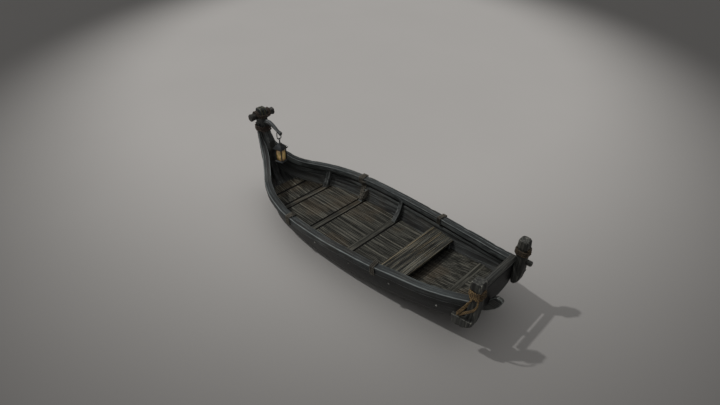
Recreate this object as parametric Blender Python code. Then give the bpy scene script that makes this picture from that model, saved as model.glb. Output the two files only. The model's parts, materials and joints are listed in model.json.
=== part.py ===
"""Small wooden riverboat with a raised prow and a hanging lantern.

Metres. Bow +X, port +Y, up +Z. The boat stands on its flat bottom plank at z = 0.
"""

import math

import bmesh
import bpy
import numpy as np
from mathutils import Matrix, Vector

for old in list(bpy.data.objects):
    bpy.data.objects.remove(old, do_unlink=True)

# Driving sizes
GAP = 0.0003            # between neighbouring pieces
PLANK = 0.020           # hull planking
CAP_WIDTH = 0.092       # gunwale cap
CAP_DEPTH = 0.045
OUTWALE = 0.028         # thickness of the lip outside the planking
OUTWALE_DEPTH = 0.088
HULL_AFT = -1.82
HULL_FORE = 1.87
BOTTOM_FORE = 1.60      # the bottom plank butts on the stem's foot
STEM_HALF = 0.050
TRANSOM = 0.024
TRANSOM_TOP = 0.616
POST_FORE = HULL_AFT - TRANSOM - 2 * GAP
LANTERN_X = 1.546
LANTERN_TURN = 14.0
HOOK_Z = 1.042          # pin height of the lantern's link
RING_Z = 0.949          # where the lantern's ring rides on the link

# Hull lines; columns: x, gunwale half width, gunwale top, chine half width, chine z, keel z, flat half width
HULL = np.array((
    (-1.85, 0.438, 0.688, 0.415, 0.440, 0.335, 0.185),
    (-1.60, 0.500, 0.633, 0.462, 0.372, 0.238, 0.210),
    (-1.33, 0.556, 0.597, 0.488, 0.312, 0.165, 0.225),
    (-1.04, 0.593, 0.573, 0.515, 0.260, 0.104, 0.240),
    (-0.72, 0.639, 0.544, 0.540, 0.222, 0.048, 0.250),
    (-0.39, 0.666, 0.528, 0.560, 0.192, 0.010, 0.260),
    (-0.05, 0.686, 0.512, 0.567, 0.165, 0.000, 0.260),
    (0.31, 0.689, 0.505, 0.567, 0.155, 0.000, 0.260),
    (0.66, 0.663, 0.497, 0.547, 0.155, 0.000, 0.255),
    (0.99, 0.587, 0.498, 0.490, 0.160, 0.000, 0.225),
    (1.14, 0.536, 0.496, 0.420, 0.168, 0.010, 0.190),
    (1.28, 0.471, 0.498, 0.340, 0.185, 0.030, 0.150),
    (1.42, 0.398, 0.500, 0.262, 0.215, 0.062, 0.112),
    (1.54, 0.315, 0.527, 0.200, 0.255, 0.102, 0.082),
    (1.60, 0.273, 0.555, 0.170, 0.280, 0.128, 0.0707),
    (1.66, 0.232, 0.600, 0.143, 0.310, 0.160, 0.0707),
    (1.74, 0.176, 0.666, 0.114, 0.355, 0.208, 0.0707),
    (1.80, 0.146, 0.722, 0.096, 0.398, 0.252, 0.0707),
    (1.88, 0.112, 0.810, 0.082, 0.466, 0.322, 0.0707),
))
# The gunwale's outer top edge where it leaves the planking and climbs the stem; columns: x, half width, z
GUNWALE_HEAD = (
    (1.835, 0.129, 0.765), (1.872, 0.110, 0.830), (1.893, 0.095, 0.885), (1.906, 0.084, 0.940),
    (1.912, 0.077, 0.985), (1.915, 0.071, 1.050),
)
# Floor top; columns: x, z
FLOOR = np.array((
    (-1.85, 0.396), (-1.65, 0.362), (-1.40, 0.319), (-1.07, 0.265), (-0.70, 0.222), (-0.30, 0.200),
    (1.10, 0.200), (1.30, 0.214), (1.50, 0.250),
))
# Stem outline in the centre plane, from the foot up the fore edge and down the aft edge
STEM_FORE = (
    (1.6005, 0.128), (1.72, 0.188), (1.82, 0.262), (1.90, 0.345), (1.945, 0.430), (1.966, 0.520),
    (1.976, 0.640), (1.990, 0.770), (2.004, 0.905), (1.996, 1.000), (1.986, 1.130), (1.978, 1.210), (1.966, 1.262),
    (1.946, 1.284),
)
STEM_AFT = (
    (1.872, 1.284), (1.852, 1.262), (1.842, 1.200), (1.838, 1.130), (1.829, 1.050), (1.822, 0.985), (1.772, 0.910), (1.724, 0.838), (1.726, 0.760),
    (1.748, 0.640), (1.752, 0.520), (1.735, 0.420), (1.690, 0.300), (1.640, 0.215), (1.6005, 0.176),
)
SKEG = (
    (-1.20, 0.100), (-1.50, 0.120), (-1.74, 0.162), (-1.84, 0.225), (-1.93, 0.318), (-1.972, 0.385),
    (-1.992, 0.455), (-1.970, 0.478), (-1.920, 0.476), (-1.880, 0.440), (-1.850, 0.395),
)
# Floor timbers under the gaps between the floor panels; columns: name, x, width of the part that shows
TIMBERS = (
    ("a", 1.084, 0.088), ("b", 0.482, 0.094), ("c", -0.148, 0.092), ("d", -0.860, 0.090), ("e", -1.480, 0.080),
)
SHOULDER = 0.030        # ledge each side of a timber that carries the panel ends
BOARD = 0.018           # floor board thickness
# Floor panels; columns: name, aft end, fore end, number of boards
PANELS = (
    ("bow", 1.130, 1.520, 9), ("fore", 0.531, 1.038, 12), ("mid", -0.100, 0.433, 12),
    ("thwart", -0.813, -0.196, 12), ("aft", -1.438, -0.907, 11), ("stern", -1.740, -1.522, 9),
)
# Ribs; columns: name, x, drop of its head below the gunwale's top, foot length along the floor
RIBS = (("a", 1.088, 0.047, 0.050), ("b", 0.480, 0.124, 0.060), ("c", -0.150, 0.047, 0.080))
RIB_WIDTH = 0.054
BENCH = (-1.030, -0.700)
BENCH_TOP = 0.372
BENCH_BOARDS = 5
LASH_START = 9          # where on its loop a gunwale lashing begins
POST_START = 3          # and a post lashing
# Gunwale lashings; columns: name, x, turns
LASHINGS = (("fore", 0.560, 4), ("aft", -0.800, 3))
LASH_ROPE = 0.0085


def material(name, colour, rough, metal=0.0):
    made = bpy.data.materials.new(name)
    made.use_nodes = True
    shader = made.node_tree.nodes["Principled BSDF"]
    shader.inputs["Base Color"].default_value = (*colour, 1.0)
    shader.inputs["Roughness"].default_value = rough
    shader.inputs["Metallic"].default_value = metal
    return made


WOOD = material("dark_tarred_wood", (0.030, 0.034, 0.034), 0.6)
FLOOR_WOOD = material("grey_brown_board", (0.055, 0.050, 0.041), 0.7)
ROPE = material("hemp_rope", (0.14, 0.095, 0.05), 0.9)
IRON = material("blackened_iron", (0.03, 0.03, 0.032), 0.5, 0.8)
TIN = material("blue_grey_tin", (0.07, 0.08, 0.09), 0.45, 0.7)
GLASS = material("amber_glass", (0.75, 0.42, 0.12), 0.3)
WAX = material("candle_wax", (0.8, 0.7, 0.5), 0.5)


def smooth_at(table, column, x):
    """Monotone cubic through one column of a table of rising x."""
    xs, ys = table[:, 0], table[:, column]
    step = np.diff(xs)
    slope = np.diff(ys) / step
    tangent = np.zeros_like(ys)
    for i in range(1, len(xs) - 1):
        if slope[i - 1] * slope[i] > 0:
            weight_a, weight_b = 2 * step[i] + step[i - 1], step[i] + 2 * step[i - 1]
            tangent[i] = (weight_a + weight_b) / (weight_a / slope[i - 1] + weight_b / slope[i])
    tangent[0], tangent[-1] = slope[0], slope[-1]
    i = int(np.clip(np.searchsorted(xs, x) - 1, 0, len(step) - 1))
    t = (x - xs[i]) / step[i]
    h = step[i]
    return float(
        (2 * t**3 - 3 * t**2 + 1) * ys[i] + (t**3 - 2 * t**2 + t) * h * tangent[i]
        + (-2 * t**3 + 3 * t**2) * ys[i + 1] + (t**3 - t**2) * h * tangent[i + 1]
    )


def hull(x):
    return [smooth_at(HULL, column, x) for column in range(1, 7)]


def floor_z(x):
    return smooth_at(FLOOR, 1, x)


def cap_axes(x):
    """Outward and upward directions of the gunwale's cap at x."""
    before, after = hull(x - 0.005), hull(x + 0.005)
    along = Vector((0.010, after[0] - before[0], after[1] - before[1])).normalized()
    out = Vector((-along.y, along.x, 0.0)).normalized()
    return out, along.cross(out)


def section(x):
    """Outer line of the port side's planking at x, with the indices of its joints."""
    gun_y, gun_z, chine_y, chine_z, keel_z, flat = hull(x)
    points = [np.array((flat, keel_z))]
    control = np.array((flat + 0.78 * (chine_y - flat), keel_z + 0.04 * (chine_z - keel_z)))
    chine = np.array((chine_y, chine_z))
    for t in (0.25, 0.5, 0.75, 1.0):
        points.append((1 - t) ** 2 * points[0] + 2 * t * (1 - t) * control + t * t * chine)
    out, up = cap_axes(x)
    aside = (OUTWALE - 0.002) / out[1]
    drop = (CAP_DEPTH - 0.008) / up[2] - aside * up[1] / up[2]
    top = np.array((gun_y - aside, gun_z - drop))
    bulge = 0.010 * min(1.0, (gun_y - 0.1) / 0.3)
    for t in (0.25, 0.5, 0.75, 1.0):
        out = 4 * t * (1 - t) * bulge
        points.append(chine + t * (top - chine) + np.array((out, -0.3 * out)))
    return points


def inward(points, flat=True):
    """The same line moved in by the planking's thickness; its first leg runs in from the flat bottom."""
    found = []
    start = np.array((1.0, 0.0)) if flat else points[1] - points[0]
    for i, point in enumerate(points):
        before = point - points[i - 1] if i else start
        after = points[i + 1] - point if i + 1 < len(points) else before
        normals = []
        for leg in (before, after):
            leg = leg / np.linalg.norm(leg)
            normals.append(np.array((-leg[1], leg[0])))
        both = normals[0] + normals[1]
        found.append(point + PLANK * both / (1 + normals[0] @ normals[1]))
    leg = points[-1] - points[-2]
    found[-1] = found[-1] - leg * (found[-1][1] - points[-1][1]) / leg[1]
    return found


def spans(start, end, most):
    count = max(1, math.ceil(abs(end - start) / most))
    return [start + (end - start) * i / count for i in range(count + 1)]


STATIONS = spans(HULL_AFT, 1.0, 0.12)[:-1] + spans(1.0, BOTTOM_FORE, 0.062)[:-1] + spans(BOTTOM_FORE, HULL_FORE, 0.055)
LINES = {}


def inner_line(x):
    """Inner line of the planking at x, straight between the stations that it is lofted through."""
    if not LINES:
        for at in STATIONS:
            LINES[at] = np.array(inward(section(at), at <= BOTTOM_FORE))
    i = int(np.clip(np.searchsorted(STATIONS, x) - 1, 0, len(STATIONS) - 2))
    t = (x - STATIONS[i]) / (STATIONS[i + 1] - STATIONS[i])
    return (1 - t) * LINES[STATIONS[i]] + t * LINES[STATIONS[i + 1]]


def inside_y(x, z, clear=0.0):
    """Half width of the hollow at x and height z, less a clearance."""
    line = inner_line(x)
    heights = [p[1] for p in line]
    if z <= heights[0]:
        return float(line[0][0]) - clear
    return float(np.interp(z, heights, [p[0] for p in line])) - clear


def new_object(name, bm, mat, smooth=False):
    bmesh.ops.recalc_face_normals(bm, faces=bm.faces)
    mesh = bpy.data.meshes.new(name)
    bm.to_mesh(mesh)
    bm.free()
    obj = bpy.data.objects.new(name, mesh)
    bpy.context.scene.collection.objects.link(obj)
    mesh.materials.append(mat)
    if smooth:
        mesh.shade_smooth()
    return obj


def loft(name, rings, mat, closed=False, smooth=False):
    """A closed skin through rings of equal length; the ends are capped unless it closes on itself."""
    bm = bmesh.new()
    rows = [[bm.verts.new(p) for p in ring] for ring in rings]
    count = len(rows[0])
    pairs = list(zip(rows, rows[1:])) + ([(rows[-1], rows[0])] if closed else [])
    for one, two in pairs:
        for i in range(count):
            bm.faces.new((one[i], one[(i + 1) % count], two[(i + 1) % count], two[i]))
    if not closed:
        bm.faces.new(rows[0])
        bm.faces.new(rows[-1])
    return new_object(name, bm, mat, smooth)


def mirrored(points):
    return [(p[0], -p[1], p[2]) for p in points]


def both_sides(name, rings, mat, smooth=False):
    made = [loft(name + "_port", rings, mat, smooth=smooth)]
    made.append(loft(name + "_starboard", [mirrored(ring) for ring in rings], mat, smooth=smooth))
    return made


def prism(name, outline, half, mat, bevel=0.0):
    """A plate in the centre plane, extruded by half to each side."""
    rings = [[(x, y, z) for x, z in outline] for y in (-half, half)]
    made = loft(name, rings, mat)
    if bevel:
        round_edges(made, bevel)
    return made


def box(name, low, high, mat, bevel=0.0):
    ring = [(low[0], low[1]), (high[0], low[1]), (high[0], high[1]), (low[0], high[1])]
    made = loft(name, [[(x, y, z) for x, y in ring] for z in (low[2], high[2])], mat)
    if bevel:
        round_edges(made, bevel)
    return made


def round_edges(obj, width, segments=2, angle=30.0):
    mod = obj.modifiers.new("round", "BEVEL")
    mod.width = width
    mod.segments = segments
    mod.limit_method = "ANGLE"
    mod.angle_limit = math.radians(angle)
    bake(obj)


def bake(obj):
    """Turns the modifiers into the mesh, with its material kept."""
    graph = bpy.context.evaluated_depsgraph_get()
    made = bpy.data.meshes.new_from_object(obj.evaluated_get(graph))
    obj.modifiers.clear()
    obj.data = made


def combine(obj, other, kind="UNION", keep=False):
    mod = obj.modifiers.new(kind.lower(), "BOOLEAN")
    mod.operation = kind
    mod.solver = "EXACT"
    mod.object = other
    bake(obj)
    if not keep:
        bpy.data.objects.remove(other, do_unlink=True)
    return obj


def tube(name, path, radius, mat, sides=8, closed=False, up=(0.0, 0.0, 1.0), phase=0.0):
    """A round bar along a path of points, with flat ends, or closed on itself."""
    points = [Vector(p) for p in path]
    count = len(points)
    rings = []
    side = None
    for i, point in enumerate(points):
        before = points[i - 1] if (i or closed) else point
        after = points[(i + 1) % count] if (i + 1 < count or closed) else point
        along = (after - before).normalized()
        if side is None:
            side = along.cross(Vector(up))
            if side.length < 0.1:
                side = along.cross(Vector((1.0, 0.0, 0.0)))
            side.normalize()
        side = (side - along * side.dot(along)).normalized()
        other = along.cross(side)
        ring = []
        for k in range(sides):
            turn = 2 * math.pi * k / sides + phase
            ring.append(point + radius * (math.cos(turn) * side + math.sin(turn) * other))
        rings.append([tuple(v) for v in ring])
    return loft(name, rings, mat, closed=closed, smooth=True)


def lathe(name, profile, mat, sides=20, centre=(0.0, 0.0, 0.0), axis="Z"):
    """A turned solid from (radius, height) points on one axis."""
    bm = bmesh.new()
    rows = []
    for radius, height in profile:
        row = []
        for k in range(sides):
            turn = 2 * math.pi * k / sides
            a, b = radius * math.cos(turn), radius * math.sin(turn)
            place = {"X": (height, a, b), "Y": (a, height, b), "Z": (a, b, height)}[axis]
            row.append(bm.verts.new(Vector(centre) + Vector(place)))
        rows.append(row)
    for one, two in zip(rows, rows[1:]):
        for k in range(sides):
            bm.faces.new((one[k], one[(k + 1) % sides], two[(k + 1) % sides], two[k]))
    bm.faces.new(rows[0])
    bm.faces.new(rows[-1])
    return new_object(name, bm, mat, smooth=True)


def make_planking():
    """The bottom plank, and on each side a bilge plank and a side plank."""
    bilge, side = [], []
    for x in STATIONS:
        outer = section(x)
        inner = inward(outer, x <= BOTTOM_FORE)
        legs = (outer[1] - outer[0], outer[4] - outer[3], outer[5] - outer[4])
        ease = [GAP / 2 * leg / np.linalg.norm(leg) for leg in legs]
        first = [outer[0] + ease[0]] + outer[1:4] + [outer[4] - ease[1]]
        first += [inner[4] - ease[1]] + inner[3:0:-1] + [inner[0] + ease[0]]
        second = [outer[4] + ease[2]] + outer[5:] + inner[:4:-1] + [inner[4] + ease[2]]
        bilge.append([(x, p[0], p[1]) for p in first])
        side.append([(x, p[0], p[1]) for p in second])
    both_sides("bilge_plank", bilge, WOOD)
    sides = both_sides("side_plank", side, WOOD)
    rings = []
    for x in [at for at in STATIONS if at <= BOTTOM_FORE]:
        outer = section(x)
        inner = inward(outer)
        leg = (outer[1] - outer[0]) / np.linalg.norm(outer[1] - outer[0])
        low, high = outer[0] - leg * GAP / 2, inner[0] - leg * GAP / 2
        rings.append([(x, -low[0], low[1]), (x, low[0], low[1]), (x, high[0], high[1]), (x, -high[0], high[1])])
    loft("bottom_plank", rings, WOOD)
    return sides


def gunwale_path():
    points = [(x, hull(x)[0], hull(x)[1]) for x in [POST_FORE + GAP] + [at for at in STATIONS if at < 1.81]]
    return [Vector(p) for p in points + list(GUNWALE_HEAD)]


def gunwale_frames():
    """Outer top edge of the port gunwale with its outward and upward directions."""
    path = gunwale_path()
    found = []
    athwart = Vector((0.0, 1.0, 0.0))
    last, head = None, 0
    for i, point in enumerate(path):
        along = (path[min(i + 1, len(path) - 1)] - path[max(i - 1, 0)]).normalized()
        if point.x < HULL_AFT - 0.01:
            out = athwart
        elif i < len(path) - len(GUNWALE_HEAD):
            out = last = Vector((-along.y, along.x, 0.0)).normalized()
        else:
            head += 1
            out = last.lerp(athwart, head / len(GUNWALE_HEAD)).normalized()
        found.append((point, along, out, along.cross(out).normalized()))
    return found


def make_gunwales(sides):
    """The two gunwales; each side plank is cut to fit under its cap and behind its lip."""
    rings, cuts = [], []
    for point, _, out, up in gunwale_frames():
        if point.x < HULL_AFT - 0.01:
            up = Vector((0.0, 0.0, 1.0))
        grow = GAP if point.x < 1.6 else 6 * GAP
        width = min(CAP_WIDTH, (point.y - STEM_HALF - GAP) / max(out.y, 0.2))
        lip = min(OUTWALE, width - 0.001)
        depth = OUTWALE_DEPTH if point.z < 0.75 else max(0.02, OUTWALE_DEPTH - 0.35 * (point.z - 0.75))
        profile = (
            (-width, 0.0), (-0.010, 0.0), (-0.003, -0.003), (0.0, -0.010), (0.0, -depth + 0.008),
            (-0.008, -depth), (-lip, -depth), (-lip, -CAP_DEPTH), (-width, -CAP_DEPTH),
        )
        ring = [point + out * a + up * b for a, b in profile]
        rings.append([(p.x, max(p.y, STEM_HALF + GAP), p.z) for p in ring])
        wide = (
            (-width - grow, 0.02), (0.02, 0.02), (0.02, -depth - grow), (-lip - grow, -depth - grow),
            (-lip - grow, -CAP_DEPTH - grow), (-width - grow, -CAP_DEPTH - grow),
        )
        cuts.append([tuple(point + out * a + up * b) for a, b in wide])
    both_sides("gunwale", rings, WOOD)
    for plank, cutter in zip(sides, both_sides("cut", cuts, WOOD)):
        combine(plank, cutter, "DIFFERENCE")


def make_stringers():
    """A batten along the inside of each side plank, below the gunwale."""
    rings = []
    for x in [HULL_AFT + 0.004] + [at for at in STATIONS if HULL_AFT + 0.01 < at < 1.57]:
        top = hull(x)[1] - 0.118
        low = top - 0.032
        ring = [(inside_y(x, z, 0.0015 + depth), z) for z, depth in ((low, 0), (top, 0), (top, 0.014), (low, 0.014))]
        rings.append([(x, y, z) for y, z in ring])
    both_sides("inner_stringer", rings, WOOD)


def make_stem():
    outline = list(STEM_FORE) + list(STEM_AFT)
    stem = prism("stem", outline, STEM_HALF, WOOD)
    round_edges(stem, 0.006, 2, 40)


def make_transom():
    x = HULL_AFT
    line = [p for p in section(x)]
    heights = [p[1] for p in line]
    top_y = float(np.interp(TRANSOM_TOP, heights, [p[0] for p in line]))
    side = [(p[0], p[1]) for p in line if p[1] < TRANSOM_TOP - 0.04] + [(top_y - 0.016, TRANSOM_TOP - 0.03)]
    side.append((top_y - 0.016, TRANSOM_TOP))
    outline = side + [(-y, z) for y, z in reversed(side)]
    rings = [[(at, y, z) for y, z in outline] for at in (x - GAP, x - GAP - TRANSOM)]
    loft("transom", rings, WOOD)


def make_floor_timbers():
    """Athwart timbers from the planking up to the floor, with shoulders that carry the floor panels."""
    for name, x, width in TIMBERS:
        outer = width / 2 + SHOULDER
        bm = bmesh.new()
        top = max(floor_z(x - outer), floor_z(x + outer))
        profile = [
            (-outer, 0.0), (outer, 0.0), (outer, floor_z(x + outer) - BOARD - 2 * GAP),
            (width / 2, floor_z(x + width / 2) - BOARD - 2 * GAP), (width / 2, floor_z(x + width / 2)),
            (-width / 2, floor_z(x - width / 2)), (-width / 2, floor_z(x - width / 2) - BOARD - 2 * GAP),
            (-outer, floor_z(x - outer) - BOARD - 2 * GAP),
        ]
        rows = [[bm.verts.new((x + a, y, z)) for a, z in profile] for y in (-0.62, 0.62)]
        for i in range(len(profile)):
            j = (i + 1) % len(profile)
            bm.faces.new((rows[0][i], rows[0][j], rows[1][j], rows[1][i]))
        bm.faces.new(rows[0])
        bm.faces.new(rows[1])
        made = new_object("floor_timber_" + name, bm, FLOOR_WOOD)
        combine(made, fitted_hollow(x - outer - 0.01, x + outer + 0.01, top + 0.1), "INTERSECT")


def fitted_hollow(start, end, top, clear=0.001):
    """The space inside the planking between two places, for cutting pieces to the hull."""
    rings = []
    for x in spans(start, end, 0.03):
        line = inner_line(x)
        heights = [z for z in line[:6, 1]] + [max(top, line[5, 1] + 0.02)]
        ring = [(x, inside_y(x, z, clear), z + clear) for z in heights]
        rings.append(ring + mirrored(reversed(ring)))
    return loft("fitted", rings, WOOD)


def slatted(name, x0, x1, count, half, cleats):
    """Boards side by side with open joints, held by cleats below, as one closed body."""
    joint = 0.0025
    pitch = 2 * half / count
    ys = [-half]
    for i in range(1, count):
        ys += [-half + i * pitch - joint / 2, -half + i * pitch + joint / 2]
    ys.append(half)
    xs = sorted(set([round(v, 5) for v in spans(x0, x1, 0.14)] + [round(c + d, 5) for c in cleats for d in (-0.02, 0.02)]))
    cleat_cells = {i for i in range(len(xs) - 1) for c in cleats if abs((xs[i] + xs[i + 1]) / 2 - c) < 0.02}
    drops = (BOARD + 0.022, BOARD, 0.0)
    filled = {}
    for i in range(len(xs) - 1):
        for j in range(len(ys) - 1):
            filled[i, j, 1] = j % 2 == 0
            filled[i, j, 0] = i in cleat_cells
    bm = bmesh.new()
    verts = {}

    def vert(i, j, k):
        key = (i, j, k)
        if key not in verts:
            verts[key] = bm.verts.new((xs[i], ys[j], floor_z(xs[i]) - drops[k]))
        return verts[key]

    for (i, j, k), full in filled.items():
        if not full:
            continue
        corners = {
            (-1, 0, 0): ((i, j, k), (i, j + 1, k), (i, j + 1, k + 1), (i, j, k + 1)),
            (1, 0, 0): ((i + 1, j, k), (i + 1, j + 1, k), (i + 1, j + 1, k + 1), (i + 1, j, k + 1)),
            (0, -1, 0): ((i, j, k), (i + 1, j, k), (i + 1, j, k + 1), (i, j, k + 1)),
            (0, 1, 0): ((i, j + 1, k), (i + 1, j + 1, k), (i + 1, j + 1, k + 1), (i, j + 1, k + 1)),
            (0, 0, -1): ((i, j, k), (i + 1, j, k), (i + 1, j + 1, k), (i, j + 1, k)),
            (0, 0, 1): ((i, j, k + 1), (i + 1, j, k + 1), (i + 1, j + 1, k + 1), (i, j + 1, k + 1)),
        }
        for (di, dj, dk), quad in corners.items():
            if not filled.get((i + di, j + dj, k + dk), False):
                bm.faces.new([vert(*c) for c in quad])
    return new_object(name, bm, FLOOR_WOOD)


def make_floor_panels():
    for name, x0, x1, count in PANELS:
        length = x1 - x0
        cleats = [x0 + 0.052, x1 - 0.052] if length > 0.3 else [(x0 + x1) / 2]
        half = max(inside_y(x, floor_z(x)) for x in (x0, (x0 + x1) / 2, x1)) - 0.004
        made = slatted("floor_panel_" + name, x0, x1, count, half, cleats)
        trim = fitted_hollow(x0 - 0.01, x1 + 0.01, max(floor_z(x0), floor_z(x1)) + 0.1, 0.004)
        combine(made, trim, "INTERSECT")


def make_ribs():
    """Curved knees on the inside of the planking, cut round the stringer, with a foot on the floor."""
    for name, x, drop, foot in RIBS:
        rings = []
        for at in (x - RIB_WIDTH / 2, x, x + RIB_WIDTH / 2):
            low = floor_z(at) + GAP
            top = hull(at)[1] - drop
            string_top = hull(at)[1] - 0.118 + 0.001
            string_low = string_top - 0.032 - 0.002
            wall = []
            for z in np.linspace(low, string_low, 5):
                wall.append((inside_y(at, z, 0.001), z))
            if top > string_top + 0.01:
                wall += [(inside_y(at, z, 0.0165), z) for z in (string_low, string_top)]
                wall += [(inside_y(at, z, 0.001), z) for z in (string_top, top)]
            else:
                top = string_low
            face = []
            span = top - low
            for t in np.linspace(1.0, 0.0, 7):
                z = low + t * span
                curve = (1 - t) ** 3
                face.append((inside_y(at, max(z, low + 0.02), 0.040) - foot * curve - 0.004 * t, z + 0.006 * curve * (t > 0)))
            rings.append([(at, y, z) for y, z in wall + face])
        both_sides("rib_" + name, rings, WOOD)


def make_bench():
    """Five boards across the boat on two bearers, and the riser on each side that carries it."""
    x0, x1 = BENCH
    pitch = (x1 - x0) / BENCH_BOARDS
    half = inside_y(x0, BENCH_TOP - 0.03) - 0.006
    top = None
    for i in range(BENCH_BOARDS):
        a, b = x0 + i * pitch + 0.0015, x0 + (i + 1) * pitch - 0.0015
        ends = [min(inside_y(v, BENCH_TOP - 0.026), inside_y(v, BENCH_TOP)) - 0.006 for v in (a, b)]
        ring = [(a, -ends[0]), (b, -ends[1]), (b, ends[1]), (a, ends[0])]
        board = loft("board", [[(x, y, z) for x, y in ring] for z in (BENCH_TOP - 0.026, BENCH_TOP)], FLOOR_WOOD)
        if top is None:
            top = board
            top.name = "bench_top"
        else:
            combine(top, board)
    for side in (-1, 1):
        y = side * (half - 0.12)
        bearer = box("bearer", (x0 + 0.012, y - 0.022, BENCH_TOP - 0.050), (x1 - 0.012, y + 0.022, BENCH_TOP - 0.025), WOOD)
        combine(top, bearer)
    rings = []
    for x in spans(x0 + 0.006, x1 - 0.006, 0.06):
        z_top = BENCH_TOP - 0.026 - GAP
        low = max(floor_z(x), floor_z(x0 + 0.006)) + GAP
        wall = [(x, inside_y(x, z, 2 * GAP), z) for z in (low, (low + z_top) / 2, z_top)]
        face = inside_y(x, low, 0.034)
        rings.append(wall + [(x, face, z_top), (x, face, low)])
    both_sides("bench_riser", rings, WOOD)


# columns: z, fore x, aft x, inner y, outer y
POST_LEVELS = np.array((
    (0.372, POST_FORE, -1.905, 0.372, 0.462), (0.430, POST_FORE, -1.935, 0.356, 0.482),
    (0.520, POST_FORE, -1.950, 0.352, 0.482), (0.640, POST_FORE, -1.958, 0.350, 0.462),
    (0.800, POST_FORE, -1.952, 0.350, 0.456), (0.935, POST_FORE - 0.004, -1.938, 0.354, 0.452),
    (0.958, POST_FORE - 0.012, -1.930, 0.362, 0.444),
))


def post_ring(z):
    """The port post's eight-sided outline at height z."""
    fore, aft, inner, outer = (float(np.interp(z, POST_LEVELS[:, 0], POST_LEVELS[:, k])) for k in (1, 2, 3, 4))
    cut = 0.018
    return [
        (fore, inner + cut), (fore - cut, inner), (aft + cut, inner), (aft, inner + cut),
        (aft, outer - cut), (aft + cut, outer), (fore - cut, outer), (fore, outer - cut),
    ]


def make_stern():
    """Transom log, corner posts with their feet, the skeg and the peg."""
    lathe("stern_crossbeam", ((0.034, -0.3497), (0.040, -0.343), (0.041, 0.0), (0.040, 0.343), (0.034, 0.3497)),
          WOOD, 16, (-1.842, 0.0, 0.727), "Y")
    rings = [[(x, y, z) for x, y in post_ring(z)] for z in [level[0] for level in POST_LEVELS]]
    # the foot reaches forward outside the planking
    foot = ((-1.722, 0.492), (-1.742, 0.402), (-1.775, 0.380), (-1.870, 0.400), (-1.925, 0.440), (-1.945, 0.520), (-1.860, 0.510))
    for side, name in ((1, "port"), (-1, "starboard")):
        flip = mirrored if side < 0 else list
        post = loft("stern_post_" + name, [flip(ring) for ring in rings], WOOD)
        lug = loft("lug", [flip([(x, y, z) for x, z in foot]) for y in (0.468, 0.512)], WOOD)
        combine(post, lug)
    peg = lathe("peg", ((0.024, -2.012), (0.030, -2.004), (0.030, -1.862)), WOOD, 14, (0.0, -0.418, 0.690), "X")
    hole = lathe("hole", ((0.0305, -2.1), (0.0305, -1.860)), WOOD, 14, (0.0, -0.418, 0.690), "X")
    return peg, hole


def make_skeg():
    aft = [at for at in STATIONS if at < SKEG[0][0]]
    top = [(x, hull(x)[4] - 2 * GAP) for x in aft]
    rise = (hull(aft[-1])[4] - hull(STATIONS[len(aft)])[4]) / (STATIONS[len(aft)] - aft[-1])
    start = (SKEG[0][0], hull(aft[-1])[4] - 2 * GAP - rise * (SKEG[0][0] - aft[-1]))
    behind = (HULL_AFT - TRANSOM - 3 * GAP, top[0][1])
    outline = list(SKEG) + [behind] + top + [start]
    prism("skeg", outline, 0.022, WOOD)


def wrap(corners, offset, steps):
    """A line that runs round a convex polygon at one distance, with an arc of so many steps at each corner."""
    points = []
    count = len(corners)
    for i in range(count):
        a, b, c = (np.array(corners[(i + k) % count], float) for k in (-1, 0, 1))
        first, second = (b - a) / np.linalg.norm(b - a), (c - b) / np.linalg.norm(c - b)
        start = math.atan2(-first[0], first[1])
        turn = math.atan2(first[0] * second[1] - first[1] * second[0], float(first @ second))
        for k in range(steps + 1):
            angle = start + turn * k / steps
            far = offset / math.cos(turn / steps / 2) if 0 < k < steps else offset
            points.append(b + far * np.array((math.cos(angle), math.sin(angle))))
    return points


def frame_at(x):
    """Place and directions of the gunwale's outer top edge at x."""
    step = 0.01
    point = Vector((x, hull(x)[0], hull(x)[1]))
    along = Vector((x + step, hull(x + step)[0], hull(x + step)[1])) - point
    along.normalize()
    out = Vector((-along.y, along.x, 0.0)).normalized()
    return point, along, out, out.cross(along) * (1 if out.cross(along).z > 0 else -1)


def make_gunwale_lashings(sides):
    """Turns of rope round each gunwale, passing through a slot in the side plank."""
    held = ((0.0, 0.0), (-CAP_WIDTH, 0.0), (-CAP_WIDTH, -CAP_DEPTH), (-0.045, -OUTWALE_DEPTH), (0.0, -OUTWALE_DEPTH))
    loop = wrap(held, LASH_ROPE + GAP, 2)
    for name, x, turns in LASHINGS:
        point, along, out, up = frame_at(x)
        pitch = 2 * LASH_ROPE + 0.0012
        reach = (turns * pitch) / 2 + 0.004
        path = []
        for i in range(turns * len(loop) - 2):
            a, b = loop[(i + LASH_START) % len(loop)]
            shift = (i / len(loop) - turns / 2) * pitch
            path.append(point + out * a + up * b + along * shift)
        for side, line in (("port", path), ("starboard", mirrored(path))):
            tube(f"gunwale_lashing_{name}_{side}", line, LASH_ROPE, ROPE, 6, phase=math.radians(30.0))
        slot = []
        wide = reach + LASH_ROPE
        for shift in (-wide, wide):
            ring = []
            for a, b in ((0.03, -OUTWALE_DEPTH + 0.0004), (0.03, -OUTWALE_DEPTH - 0.026), (-0.14, -OUTWALE_DEPTH - 0.026),
                         (-0.14, -0.040), (-0.060, -0.040), (-0.040, -OUTWALE_DEPTH + 0.0004)):
                ring.append(tuple(point + out * a + up * b + along * shift))
            slot.append(ring)
        combine(sides[0], loft("slot", slot, WOOD), "DIFFERENCE")
        combine(sides[1], loft("slot", [mirrored(ring) for ring in slot], WOOD), "DIFFERENCE")


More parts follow.
